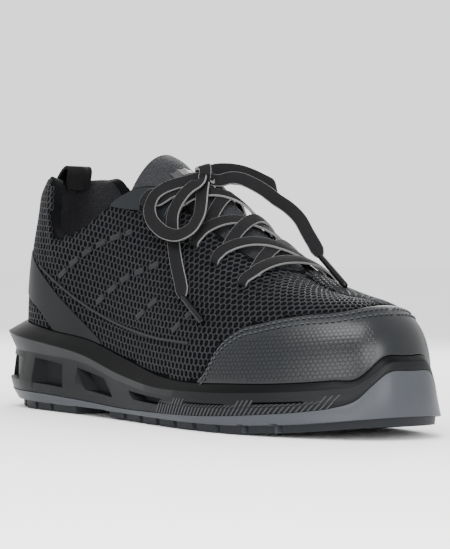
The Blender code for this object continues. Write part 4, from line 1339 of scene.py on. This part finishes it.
def tube_mesh(points, size, around=8):
    """A closed round tube along points."""
    points = np.asarray(points, float)
    run = unit(np.gradient(points, axis=0))
    first = unit(np.cross(run, np.array([0.13, 0.31, 0.94])))
    second = np.cross(run, first)
    turn = np.linspace(0, 2 * np.pi, around, endpoint=False)[:, None]
    size = np.broadcast_to(np.asarray(size, float), len(points))[:, None, None]
    return ring_mesh(points[:, None] + first[:, None] * np.cos(turn) * size / 2
                     + second[:, None] * np.sin(turn) * size / 2)


def build_seam_pipe(side, word, looks):
    """The raised seam along the side, in the dashes' lighter look, which is partly its own colour and partly
    a painted highlight.
    """
    s = np.linspace(station(SEAM[0].share), station(SEAM[-1].share), 120)
    w = w_at_height(s, side, over_collar(SEAM, "rise", s))
    points = dressed(s, side, w, 0.7 * PIPE_SIZE)
    return piece("pipe_" + word, tube_mesh(points, PIPE_SIZE), looks, ["seam_" + word])


def build_edge_pipe(looks):
    """The rounded binding round the throat."""
    s = np.linspace(station(THROAT_BACK + BINDING_START), station(THROAT_FRONT), 160)
    out = dressed(s, -1, edge_w(s, -1), -BINDING_SINK)
    back = dressed(s[::-1], 1, edge_w(s[::-1], 1), -BINDING_SINK)
    points = np.concatenate([out, back[1:]])
    return piece("throat_binding", tube_mesh(points, BINDING_SIZE, 10), looks)


def build_dashes(side, word, looks):
    """Smooth raised dashes in rows over the net."""
    bm = bmesh.new()
    for row in DASH_ROWS:
        line = np.linspace(row[0].share, row[-1].share, 200)
        s = station(line)
        w = w_at_height(s, side, at_share(row, "height", line))
        points = dressed(s, side, w, NET_RISE + FILM_RISE)
        normals = skin_normal(s, side, w)
        for spine, up in stretches(points, normals, DASH_LONG, DASH_STEP, np.linspace(0, 1, 6), 0.4):
            across = unit(np.cross(up, np.gradient(spine, axis=0)))
            add_bar(bm, spine, up, across, DASH_WIDTH / 2, -NET_RISE, FILM_RISE)
    obj = piece("dashes_" + word, mesh_from(bm, True), looks)
    add_bevel(obj, FILM_ROUND)
    return settled(obj)


def build_band(looks):
    """The smooth band round the heel."""
    s = np.linspace(0, station(BAND[-1].share), 80)
    grids = []
    for side in (-1, 1):
        low = np.maximum(over_collar(BAND, "low", s), rim(s) + SEAT)
        grids.append((side, film_grid(s, side, low, over_collar(BAND, "high", s), 26, FIT)))
    return film("heel_film", grids, 0.8 * OVERLAY_WALL, looks, ["heel_band"],
                bevel=FILM_ROUND)


def build_stay_film(side, word, looks, cutter):
    s = np.linspace(station(STAY[0].share), station(STAY[-1].share), 50)
    grid = film_grid(s, side, over_collar(STAY, "low", s), np.full_like(s, np.inf), 26, FIT)
    return film("stay_film_" + word, [(side, grid)], STAY_WALL, looks,
                ["stay_" + word], cutter, 0.0002)


def build_tongue_pad(looks):
    """The padded tongue, puffed at its top and raised inside the throat."""
    grids = []
    for side in (-1, 1):
        rows = []
        for u in np.linspace(1, 0, 22):
            back = TONGUE_BACK - TONGUE_ARCH * u ** 2
            s = station(np.linspace(back, THROAT_FRONT + TONGUE_PAST_THROAT, 90))
            share = share_at(s)
            top = np.exp(-((share - TONGUE_PUFF_SHARE) / TONGUE_PUFF_SPREAD) ** 2)
            free = np.maximum(throat_half(s) - TONGUE_PLAY, SEAT)
            raised = TONGUE_RAISE * np.clip((share - TONGUE_RAISE_SHARE) / TONGUE_RAISE_RUN, 0, 1)
            puff = TONGUE_PUFF * top * (1 - u ** 4)
            puff = puff + raised * np.clip(1 - (TONGUE_HALF * u / free) ** 2, 0, 1)
            w = w_at_gap(s, side, TONGUE_HALF * u)
            rows.append(cover(s, side, w, -UPPER_WALL - 2 * SEAT + puff))
        grids.append((side, np.stack(rows)))
    obj = piece("tongue_pad", sheet_mesh(grids), looks, ["tongue"])
    add_solidify(obj, TONGUE_WALL, -1).material_offset = 1
    add_bevel(obj, TONGUE_ROUND, 4, 50)
    settled(obj)


def lace_mesh(run, wall=LACE_WALL):
    """A flat woven lace through (point, facing, width): ribs across it, and a light thread
    along each edge."""
    points, facings, widths = [np.array(part, float) for part in zip(*run)]
    reach = reach_along(points)
    steps = max(int(reach[-1] / RIB_STEP), 4)
    at = np.linspace(0, reach[-1], steps + 1)
    spine = np.stack([smooth(reach, points[:, k], at) for k in range(3)], -1)
    up = at_reach(at, reach, facings)
    wide = np.interp(at, reach, widths)[:, None]
    ahead = np.gradient(spine, axis=0)
    across = unit(np.cross(up, ahead))
    face = unit(np.cross(ahead, across))
    edge = np.array(LACE_ACROSS)
    rib = 1.0 + RIB_RISE * (np.arange(steps + 1) % 2)[:, None] * (np.abs(edge) < LACE_EDGE)
    top = np.array(LACE_TALL) * rib
    out = np.concatenate([edge, edge[-2:0:-1]])
    tall = np.concatenate([top, -top[:, -2:0:-1]], axis=1)
    rings = (spine[:, None] + across[:, None] * (out * wide)[..., None] / 2
             + face[:, None] * tall[..., None] * wall / 2)
    far_out = np.abs(out)
    light = np.minimum(far_out, np.roll(far_out, -1)) >= LACE_EDGE
    return ring_mesh(rings, light.astype(int).tolist() * steps + [0, 0])


def over_throat(share, across, proud):
    """A point over the throat and its outward direction; across is negative on the outer side."""
    side = -1 if across < 0 else 1
    s = np.array([station(share)])
    w = w_at_gap(s, side, abs(across))
    return cover(s, side, w, np.array([proud]))[0], skin_normal(s, side, w)[0]


def through_hole(share, side, reach):
    """A lace's way up through a hole, turning until it lies flat."""
    run = []
    for proud, out, flat, width in HOLE_PASS:
        point, normal = over_throat(share, side * (reach + out), proud)
        turn = normal * flat + np.array([0.0, side, 0.0]) * (1 - flat)
        run.append((point, unit(turn), LACE_WIDTH * width))
    return run


def under_edge(share, side, half, deeper=0.0):
    """A lace's way under the upper's edge, from the throat outward."""
    run = []
    for depth, out in UNDER_EDGE:
        run.append((*over_throat(share, side * (half + out), -depth - deeper), LACE_WIDTH))
    return run


def crossing(row, side, over):
    """A lace from a hole, over the tongue, and under the upper's edge on the other side."""
    last = row == len(EYELET_SHARES) - 1
    share = LAST_CROSSING if last else EYELET_SHARES[row]
    target = EYELET_SHARES[row - 1]
    near = throat_half_at(share)
    far = throat_half_at(target)
    reach = near + EYELET_INSET
    run = under_edge(share, side, near, LAST_DEPTH)[::-1] if last else through_hole(share, side, reach)
    start = side * (near - EDGE_PLAY if last else reach - HOLE_PLAY)
    finish = -side * (far - EDGE_PLAY)
    for t in np.linspace(0, 1, 12):
        hump = np.sin(np.pi * t)
        proud = CROSS_RISE + over * CROSS_HUMP * hump - CROSS_FALL * t
        if last:
            proud = LAST_RISE + (LAST_HUMP + LAST_LIFT * over) * hump
        across = start + (finish - start) * t
        run.append((*over_throat(share + (target - share) * t, across, proud), LACE_WIDTH))
    return run + under_edge(target, -side, far)


def bar_line():
    """The lace's straight bar between the two holes at the front."""
    share = EYELET_SHARES[0]
    reach = throat_half_at(share) + EYELET_INSET
    middle = []
    for t in np.linspace(0.08, 0.92, 10):
        bow = np.sin(np.pi * t)
        across = -reach + 2 * reach * t
        place = over_throat(share + BAR_BOW * bow, across, BAR_RISE + BAR_HUMP * bow)
        middle.append((*place, LACE_WIDTH))
    return through_hole(share, -1, reach) + middle + through_hole(share, 1, reach)[::-1]


def build_laces(looks):
    """The laced part: the bar, the crossings, and the two runs up to the knot."""
    words = dict(SIDES)
    piece("lace_bar", lace_mesh(bar_line()), looks, ["lacing"])
    for row, side, over in CROSSINGS:
        name = "lace_cross_%d_%s" % (row, words[side])
        piece(name, lace_mesh(crossing(row, side, over)), looks)
    for side in (1, -1):
        piece("lace_to_knot_" + words[side], lace_mesh(to_knot(side)), looks)


def to_knot(side):
    """The lace from the last hole up to the knot."""
    share = EYELET_SHARES[-1]
    reach = throat_half_at(share) + EYELET_INSET
    points = []
    facings = []
    for part, less, ahead, proud in TO_KNOT[side]:
        point, normal = over_throat(share + ahead, side * (part * reach - less), proud)
        points.append(point)
        facings.append(normal)
    facings[0] = np.array([0.0, side, 0.3])
    lower = np.array([0.0, 0.0, 0.0 if side > 0 else 0.003])
    points.append(0.35 * points[-1] + 0.65 * np.array(KNOT_PLACE) - lower)
    facings.append(facings[-1])
    widths = LACE_WIDTH * np.array([0.6, 0.8, 1.0, 1.0, 1.0, 0.7])
    return list(zip(points, facings, widths))


def build_knot(looks):
    """The knot: a rounded bundle with a band wrapped over it."""
    level = np.cross(KNOT_UP, KNOT_BACK)
    run = []
    for a in np.linspace(0, 2 * np.pi, 40):
        out = np.cos(a) * KNOT_BACK + np.sin(a) * KNOT_UP
        point = np.array(KNOT_PLACE) + out * KNOT_RING + level * KNOT_TWIST * np.sin(2 * a)
        run.append((point, out, KNOT_BAND_WIDTH * LACE_WIDTH))
    wrap = piece("knot_wrap", lace_mesh(run, KNOT_BAND_WALL * LACE_WALL), looks)
    bm = bmesh.new()
    place = Matrix.Translation(KNOT_PLACE) @ Matrix.Diagonal((*KNOT_CORE, 1))
    bmesh.ops.create_uvsphere(bm, u_segments=36, v_segments=24, radius=0.5, matrix=place)
    for vert in bm.verts:
        out = vert.co - Vector(KNOT_PLACE)
        swirl = np.sin(KNOT_WAVES[0] * out.x + KNOT_WAVES[1] * out.z) * KNOT_SWIRL
        vert.co += out.normalized() * swirl
    return piece("knot_core", mesh_from(bm), looks, ["lace_knot"]), wrap


def cord_piece(name, route, facing, looks, node, far_end, on_edge=False):
    """A free lace along its route; its flat side faces one way, or it stands on its edge."""
    points = smooth_route([NEAR_KNOT] + route, 8)
    facings = np.broadcast_to(np.array(facing, float), points.shape)
    if on_edge:
        facings = unit(np.cross(np.gradient(points, axis=0), np.array(facing)))
    at = reach_along(points)
    reach = float(at[-1])
    narrow = np.clip((reach - at) / TIP_TAPER, 0, 1) if far_end == "fitting" else np.ones(len(points))
    widths = AGLET_SIZE + (LACE_WIDTH - AGLET_SIZE) * narrow ** TIP_CURVE
    obj = piece(name, lace_mesh(zip(points, facings, widths)), looks, [node])


def build_tip(name, node, start, end, looks):
    """The hard tip of a lace."""
    start = np.array(start)
    share = np.array([0.0, 0.02, 0.06, 0.5, 0.93, 0.98, 1.0])[:, None]
    size = AGLET_SIZE * np.array([0.7, 0.95, 1.0, 1.0, 1.0, 0.9, 0.55])
    points = start + (np.array(end) - start) * share
    return piece(name, tube_mesh(points, size, 16), looks, [node])


def build_cords(looks, tip_looks):
    """The knot, the two tips and the four free laces."""
    knot, wrap = build_knot(looks)
    tip_lateral = build_tip("tip_lateral", "aglet_lateral", END_LATERAL[-1], AGLET_END_LATERAL, tip_looks)
    tip_medial = build_tip("tip_medial", "aglet_medial", END_MEDIAL[-1], AGLET_END_MEDIAL, tip_looks)
    cord_piece("loop_lateral", LOOP_LATERAL + BACK_LATERAL, FACE_LATERAL, looks, "lace_loop_lateral",
               "object")
    cord_piece("end_lateral", END_LATERAL, FACE_LATERAL, looks, "lace_end_lateral",
               "fitting")
    cord_piece("loop_medial", LOOP_MEDIAL + BACK_MEDIAL, FACE_LOOP_MEDIAL, looks, "lace_loop_medial",
               "object", on_edge=True)
    cord_piece("end_medial", END_MEDIAL, FACE_MEDIAL, looks, "lace_end_medial",
               "fitting")


def sole_stations():
    return np.sort(np.concatenate([np.linspace(0, 1, 211), station(EXTRA_STATIONS)]))


def between(low, high, share):
    return tuple(a + (b - a) * share for a, b in zip(low, high))


def band_look(mark, share):
    """A band's look at a share of the length: the grey one, painted light, fades and ends towards the toe."""
    if mark != LIT_BAND_LOOK or share <= FADE_START:
        return mark
    return LIT_FADE_LOOK if share <= BAND_END else CAGE_LOOK


def loft_mesh(lines, marks, shares):
    """A closed body from lines of (outer, inner) points, with a look for each band."""
    count = len(lines[0][0])
    around = 2 * count - 2
    points = np.concatenate([loop(outer, inner) for outer, inner in lines])
    faces = []
    numbers = []
    for k in range(len(lines) - 1):
        for i in range(around):
            j = (i + 1) % around
            low, high = k * around, (k + 1) * around
            faces.append([low + i, low + j, high + j, high + i])
            numbers.append(band_look(marks[k], shares[min(i, around - i)]))
    last = (len(lines) - 1) * around
    for i in range(count - 1):
        far = [(around - i) % around, (around - i - 1) % around]
        faces.append(unique([i, far[0], far[1], i + 1]))
        faces.append([last + v for v in unique([i, i + 1, far[1], far[0]])])
        numbers += [marks[0], marks[-1]]
    return welded(points, faces, None, numbers)


def build_sole_side(looks, hidden):
    """The foam and cage of the sole's side, up to the ledge and the rim round the upper."""
    s = sole_stations()
    plate_up = side_up(s, "plate") + FIT
    grey_up = side_up(s, "grey") + FIT
    grey_out = side_out(s, "grey")
    inner_out = grey_out - OUTSOLE_WALL - FIT
    cage = both(lambda side: rubber_line(s, side, "cage"))
    lip = both(lambda side: rubber_line(s, side, "lip"))
    lines = [
        both(lambda side: side_line(s, side, inner_out, plate_up)),
        both(lambda side: side_line(s, side, inner_out, grey_up)),
        both(lambda side: side_line(s, side, grey_out - FIT, grey_up)),
        both(lambda side: rubber_line(s, side, "bulge")),
        cage,
        between(cage, lip, LEDGE_START),
        between(cage, lip, LEDGE_END),
        lip,
    ]
    for share, proud in ((1.0, FIT + RIM_WALL), (1.0, FIT), (0.0, FIT)):
        height = bed(s) + (rim(s) - bed(s)) * share
        lines.append(both(lambda side: cover(s, side, w_at_height(s, side, height), np.full_like(s, proud))))
    # the band strips carry painted light and the ledge strips painted shade over the one cage foam
    marks = [CAGE_LOOK] * 4 + [LIT_BAND_LOOK] * 2 + [SHADED_LEDGE_LOOK] * 5
    sole = piece("sole_side", loft_mesh(lines, marks, share_at(s)), looks, ["midsole"])
    add_bevel(sole, SOLE_ROUND, 2, 32)
    add_boolean(sole, build_windows(hidden))
    return settled(sole)


def build_windows(hidden):
    """Blocks that cut the windows, with a slanted back wall in the wide ones; the walls they cut take a
    darker look, which is painted shade in the recesses.
    """
    steps = 26
    bm = bmesh.new()
    for window in WINDOWS:
        width = window.front - window.back
        slant = WINDOW_SLANT * width if window.back > WINDOW_SLANT_FROM else 0.0
        wider = slant * 2 * SOLE_FLARE / WINDOW_DEPTH
        for side in (-1, 1):
            corners = []
            for level, lean, turn in ((window.low, 0, 1), (window.high, window.lean, -1)):
                outer = np.linspace(window.back - wider, window.front, steps) + lean
                inner = np.linspace(window.back + slant, window.front, steps) + lean
                for share, depth, shift in ((outer, -2 * SOLE_FLARE, 0), (inner, WINDOW_DEPTH, WINDOW_TAPER)):
                    s = station(share)
                    height = level * bed(s) + shift * turn
                    corners.append(side_line(s, side, side_out(s, "bulge") - depth, height))
            low_out, low_in, high_out, high_in = corners
            add_block(bm, [low_out, high_out, high_in, low_in], side > 0)
    # the cut walls take the darker window look: painted shade in the recesses
    for face in bm.faces:
        face.material_index = HOLLOW_SHADE_LOOK
    return cutter_object("window_cuts", bm, hidden)


def build_tread(looks, hidden):
    """The outsole: tread with grooves and channels, and its wall round the foam."""
    s = sole_stations()
    plate_up = side_up(s, "plate")
    grey_up = side_up(s, "grey")
    foot_up = side_up(s, "foot")
    foot_out = side_out(s, "foot")
    wall_out = side_out(s, "grey") - OUTSOLE_WALL
    lines = [
        both(lambda side: side_line(s, side, foot_out - TREAD_INSET - FIT, tread_height(s))),
        both(lambda side: side_line(s, side, foot_out - TREAD_INSET, foot_up - SEAT)),
        both(lambda side: side_line(s, side, foot_out, foot_up)),
        both(lambda side: rubber_line(s, side, "grey")),
        both(lambda side: side_line(s, side, wall_out, grey_up)),
        both(lambda side: side_line(s, side, wall_out, plate_up)),
    ]
    mesh = loft_mesh(lines, [1, 0, 0, 0, 0, 0], np.zeros(len(s)))
    tread = piece("tread", mesh, looks, ["outsole"])
    add_bevel(tread, TREAD_ROUND, 2, 32)
    add_boolean(tread, build_grooves(hidden))
    add_boolean(tread, build_channels(hidden))
    return settled(tread)


def build_hatch(looks):
    """Fine slanted ridges in two rows on the sole's side, under the vamp and the toe."""
    bm = bmesh.new()
    for side in (-1, 1):
        for share in np.arange(HATCH_START, HATCH_END, HATCH_STEP):
            top = HATCH_UNDER_WINDOW if in_window(share) else HATCH_TOP
            for low, high, last, ahead in (("grey", "bulge", 0.95, 0.0), ("bulge", "cage", top, HATCH_SLANT)):
                s = station(share + ahead + np.linspace(0, HATCH_SLANT, 5))
                part = np.linspace(0.05, last, 5)
                height = side_up(s, low) + (side_up(s, high) - side_up(s, low)) * part
                out = side_out(s, low) + (side_out(s, high) - side_out(s, low)) * part
                edges = []
                for along, proud in ((-1, -1), (1, -1), (1, 1), (-1, 1)):
                    at = s + along * HATCH_SIZE * 4
                    edges.append(side_line(at, side, out + proud * HATCH_SIZE, height))
                add_block(bm, edges)
    return piece("hatch", mesh_from(bm, True), looks)


def in_window(share):
    """Whether a ridge would run over a window."""
    return any(w.back - HATCH_BEFORE < share < w.front + HATCH_AFTER for w in WINDOWS)


def build_loop_tape(looks):
    """The pull loop's tape, over the back of the collar."""
    grids = []
    probe = np.linspace(0, 0.2, 161)
    for side in (-1, 1):
        reach = np.abs(skin(probe, side, w_at_height(probe, side, collar_height(probe)))[:, 1])
        s = np.interp(np.linspace(0, LOOP_WIDTH / 2, 9), reach, probe)
        level = collar_height(s)
        rows = []
        for height, proud in LOOP_PATH:
            w = w_at_height(s, side, level + min(height, 0))
            points = cover(s, side, w, np.full_like(s, proud))
            if height >= 0:
                points[:, 2] = level + height
            points[:, 0] += LOOP_LEAN * max(height, 0) / LOOP_RISE
            rows.append(points)
        grids.append((side, np.stack(rows)))
    obj = piece("loop_tape", sheet_mesh(grids), looks, ["pull_loop"])
    round_off = obj.modifiers.new("round", "SUBSURF")
    round_off.levels = 2
    round_off.render_levels = 2
    add_solidify(obj, LOOP_WALL, 1)
    return settled(obj)


def build_rings(looks):
    """Small raised rings round the eyelets."""
    bm = bmesh.new()
    for place in eyelets(NET_RISE):
        add_ring(bm, place, EYELET_SIZE / 2 + RING_SIZE, RING_SIZE)
    return piece("eyelet_rings", mesh_from(bm), looks)


def add_ring(bm, place, radius, thick, around=24, section=8):
    rows = []
    for a in np.linspace(0, 2 * np.pi, around, endpoint=False):
        row = []
        for b in np.linspace(0, 2 * np.pi, section, endpoint=False):
            out = radius + thick * np.cos(b)
            row.append(bm.verts.new(place @ Vector((out * np.cos(a), out * np.sin(a), thick * np.sin(b)))))
        rows.append(row)
    for i in range(around):
        for j in range(section):
            k = (i + 1) % around
            m = (j + 1) % section
            bm.faces.new([rows[i][j], rows[k][j], rows[k][m], rows[i][m]])


def build_camera():
    back = Vector((np.sin(CAMERA_TURN) * np.cos(CAMERA_RISE),
                   -np.cos(CAMERA_TURN) * np.cos(CAMERA_RISE), np.sin(CAMERA_RISE)))
    right = (-back).cross(Vector((0, 0, 1))).normalized()
    up = right.cross(-back)
    turned = right * np.cos(CAMERA_ROLL) + up * np.sin(CAMERA_ROLL)
    raised = up * np.cos(CAMERA_ROLL) - right * np.sin(CAMERA_ROLL)
    data = bpy.data.cameras.new("camera")
    data.sensor_fit = "VERTICAL"
    data.sensor_height = SENSOR
    data.lens = CAMERA_FOCUS * SENSOR / PICTURE[1]
    data.shift_x = (PICTURE[0] / 2 - PICTURE_MIDDLE[0]) / PICTURE[1]
    data.shift_y = (PICTURE_MIDDLE[1] - PICTURE[1] / 2) / PICTURE[1]
    data.clip_start = 0.05
    camera = bpy.data.objects.new("camera", data)
    rotation = Matrix((turned, raised, back)).transposed().to_4x4()
    camera.matrix_world = Matrix.Translation(CAMERA_TARGET + back * CAMERA_REACH) @ rotation
    bpy.context.scene.collection.objects.link(camera)
    bpy.context.scene.camera = camera


def link_light(light):
    data = bpy.data.lights.new(light.name, "AREA")
    data.shape = "RECTANGLE"
    data.size, data.size_y = light.size
    data.energy = light.energy
    obj = bpy.data.objects.new(light.name, data)
    obj.location = light.place
    obj.rotation_euler = (Vector(light.aim) - Vector(light.place)).to_track_quat("-Z", "Y").to_euler()
    bpy.context.scene.collection.objects.link(obj)


def build_stage(look):
    """The pale floor, the even world and the soft lights."""
    world = bpy.data.worlds.new("studio")
    world.use_nodes = True
    sky = world.node_tree.nodes["Background"]
    sky.inputs["Color"].default_value = (1.0, 1.0, 1.0, 1)
    sky.inputs["Strength"].default_value = WORLD_LIGHT
    bpy.context.scene.world = world
    bm = bmesh.new()
    bmesh.ops.create_grid(bm, x_segments=1, y_segments=1, size=FLOOR_HALF)
    mesh = mesh_from(bm)
    mesh.materials.append(look)
    floor = bpy.data.objects.new("floor", mesh)
    floor.location.z = -FLOOR_DROP
    bpy.context.scene.collection.objects.link(floor)
    for light in LIGHTS:
        link_light(light)


def dress_node(name, look):
    """A carried-over solid with a better material."""
    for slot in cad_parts[name].material_slots:
        slot.material = look


def main():
    hidden = bpy.data.collections.new("cuts")
    look = {name: surface(name) for name in LOOKS}
    build_camera()
    build_stage(look["floor"])
    lace = [look["lace_black"], look["lace_thread"]]
    build_cords(lace, [look["tip_black"]])

    eyelet_holes = build_eyelets(hidden)
    build_shell([look["knit_ground"], look["lining"]], eyelet_holes)
    for side, word in SIDES:
        build_net(side, word, [look["net_ribs"]])
        build_dashes(side, word, [look["dash_film_and_pipe_highlight"]])
        # the seam pipe's lighter look is partly painted highlight
        build_seam_pipe(side, word, [look["dash_film_and_pipe_highlight"]])
        build_stay_film(side, word, [look["stay_film"]], eyelet_holes)
    build_cap([look["cap_film"]], [look["stitch_thread"]])
    build_band([look["smooth_film"]])
    build_edge_pipe([look["knit_ground"]])
    build_rings([look["smooth_film"]])
    build_tongue_pad([look["tongue_knit"], look["lining"]])
    build_loop_tape([look["webbing"]])
    build_laces(lace)
    side_looks = ("cage", "cage_band_painted_light", "ledge", "window_painted_shade", "cage_fade_painted_light")
    build_sole_side([look[name] for name in side_looks], hidden)
    build_tread([look["rubber_grey"], look["rubber_dark"]], hidden)
    build_hatch([look["hatch"]])
    dress_node("insole", look["footbed"])
    dress_node("tongue_label", look["label_plate"])
    dress_node("lace_keeper", look["stay_film"])


main()
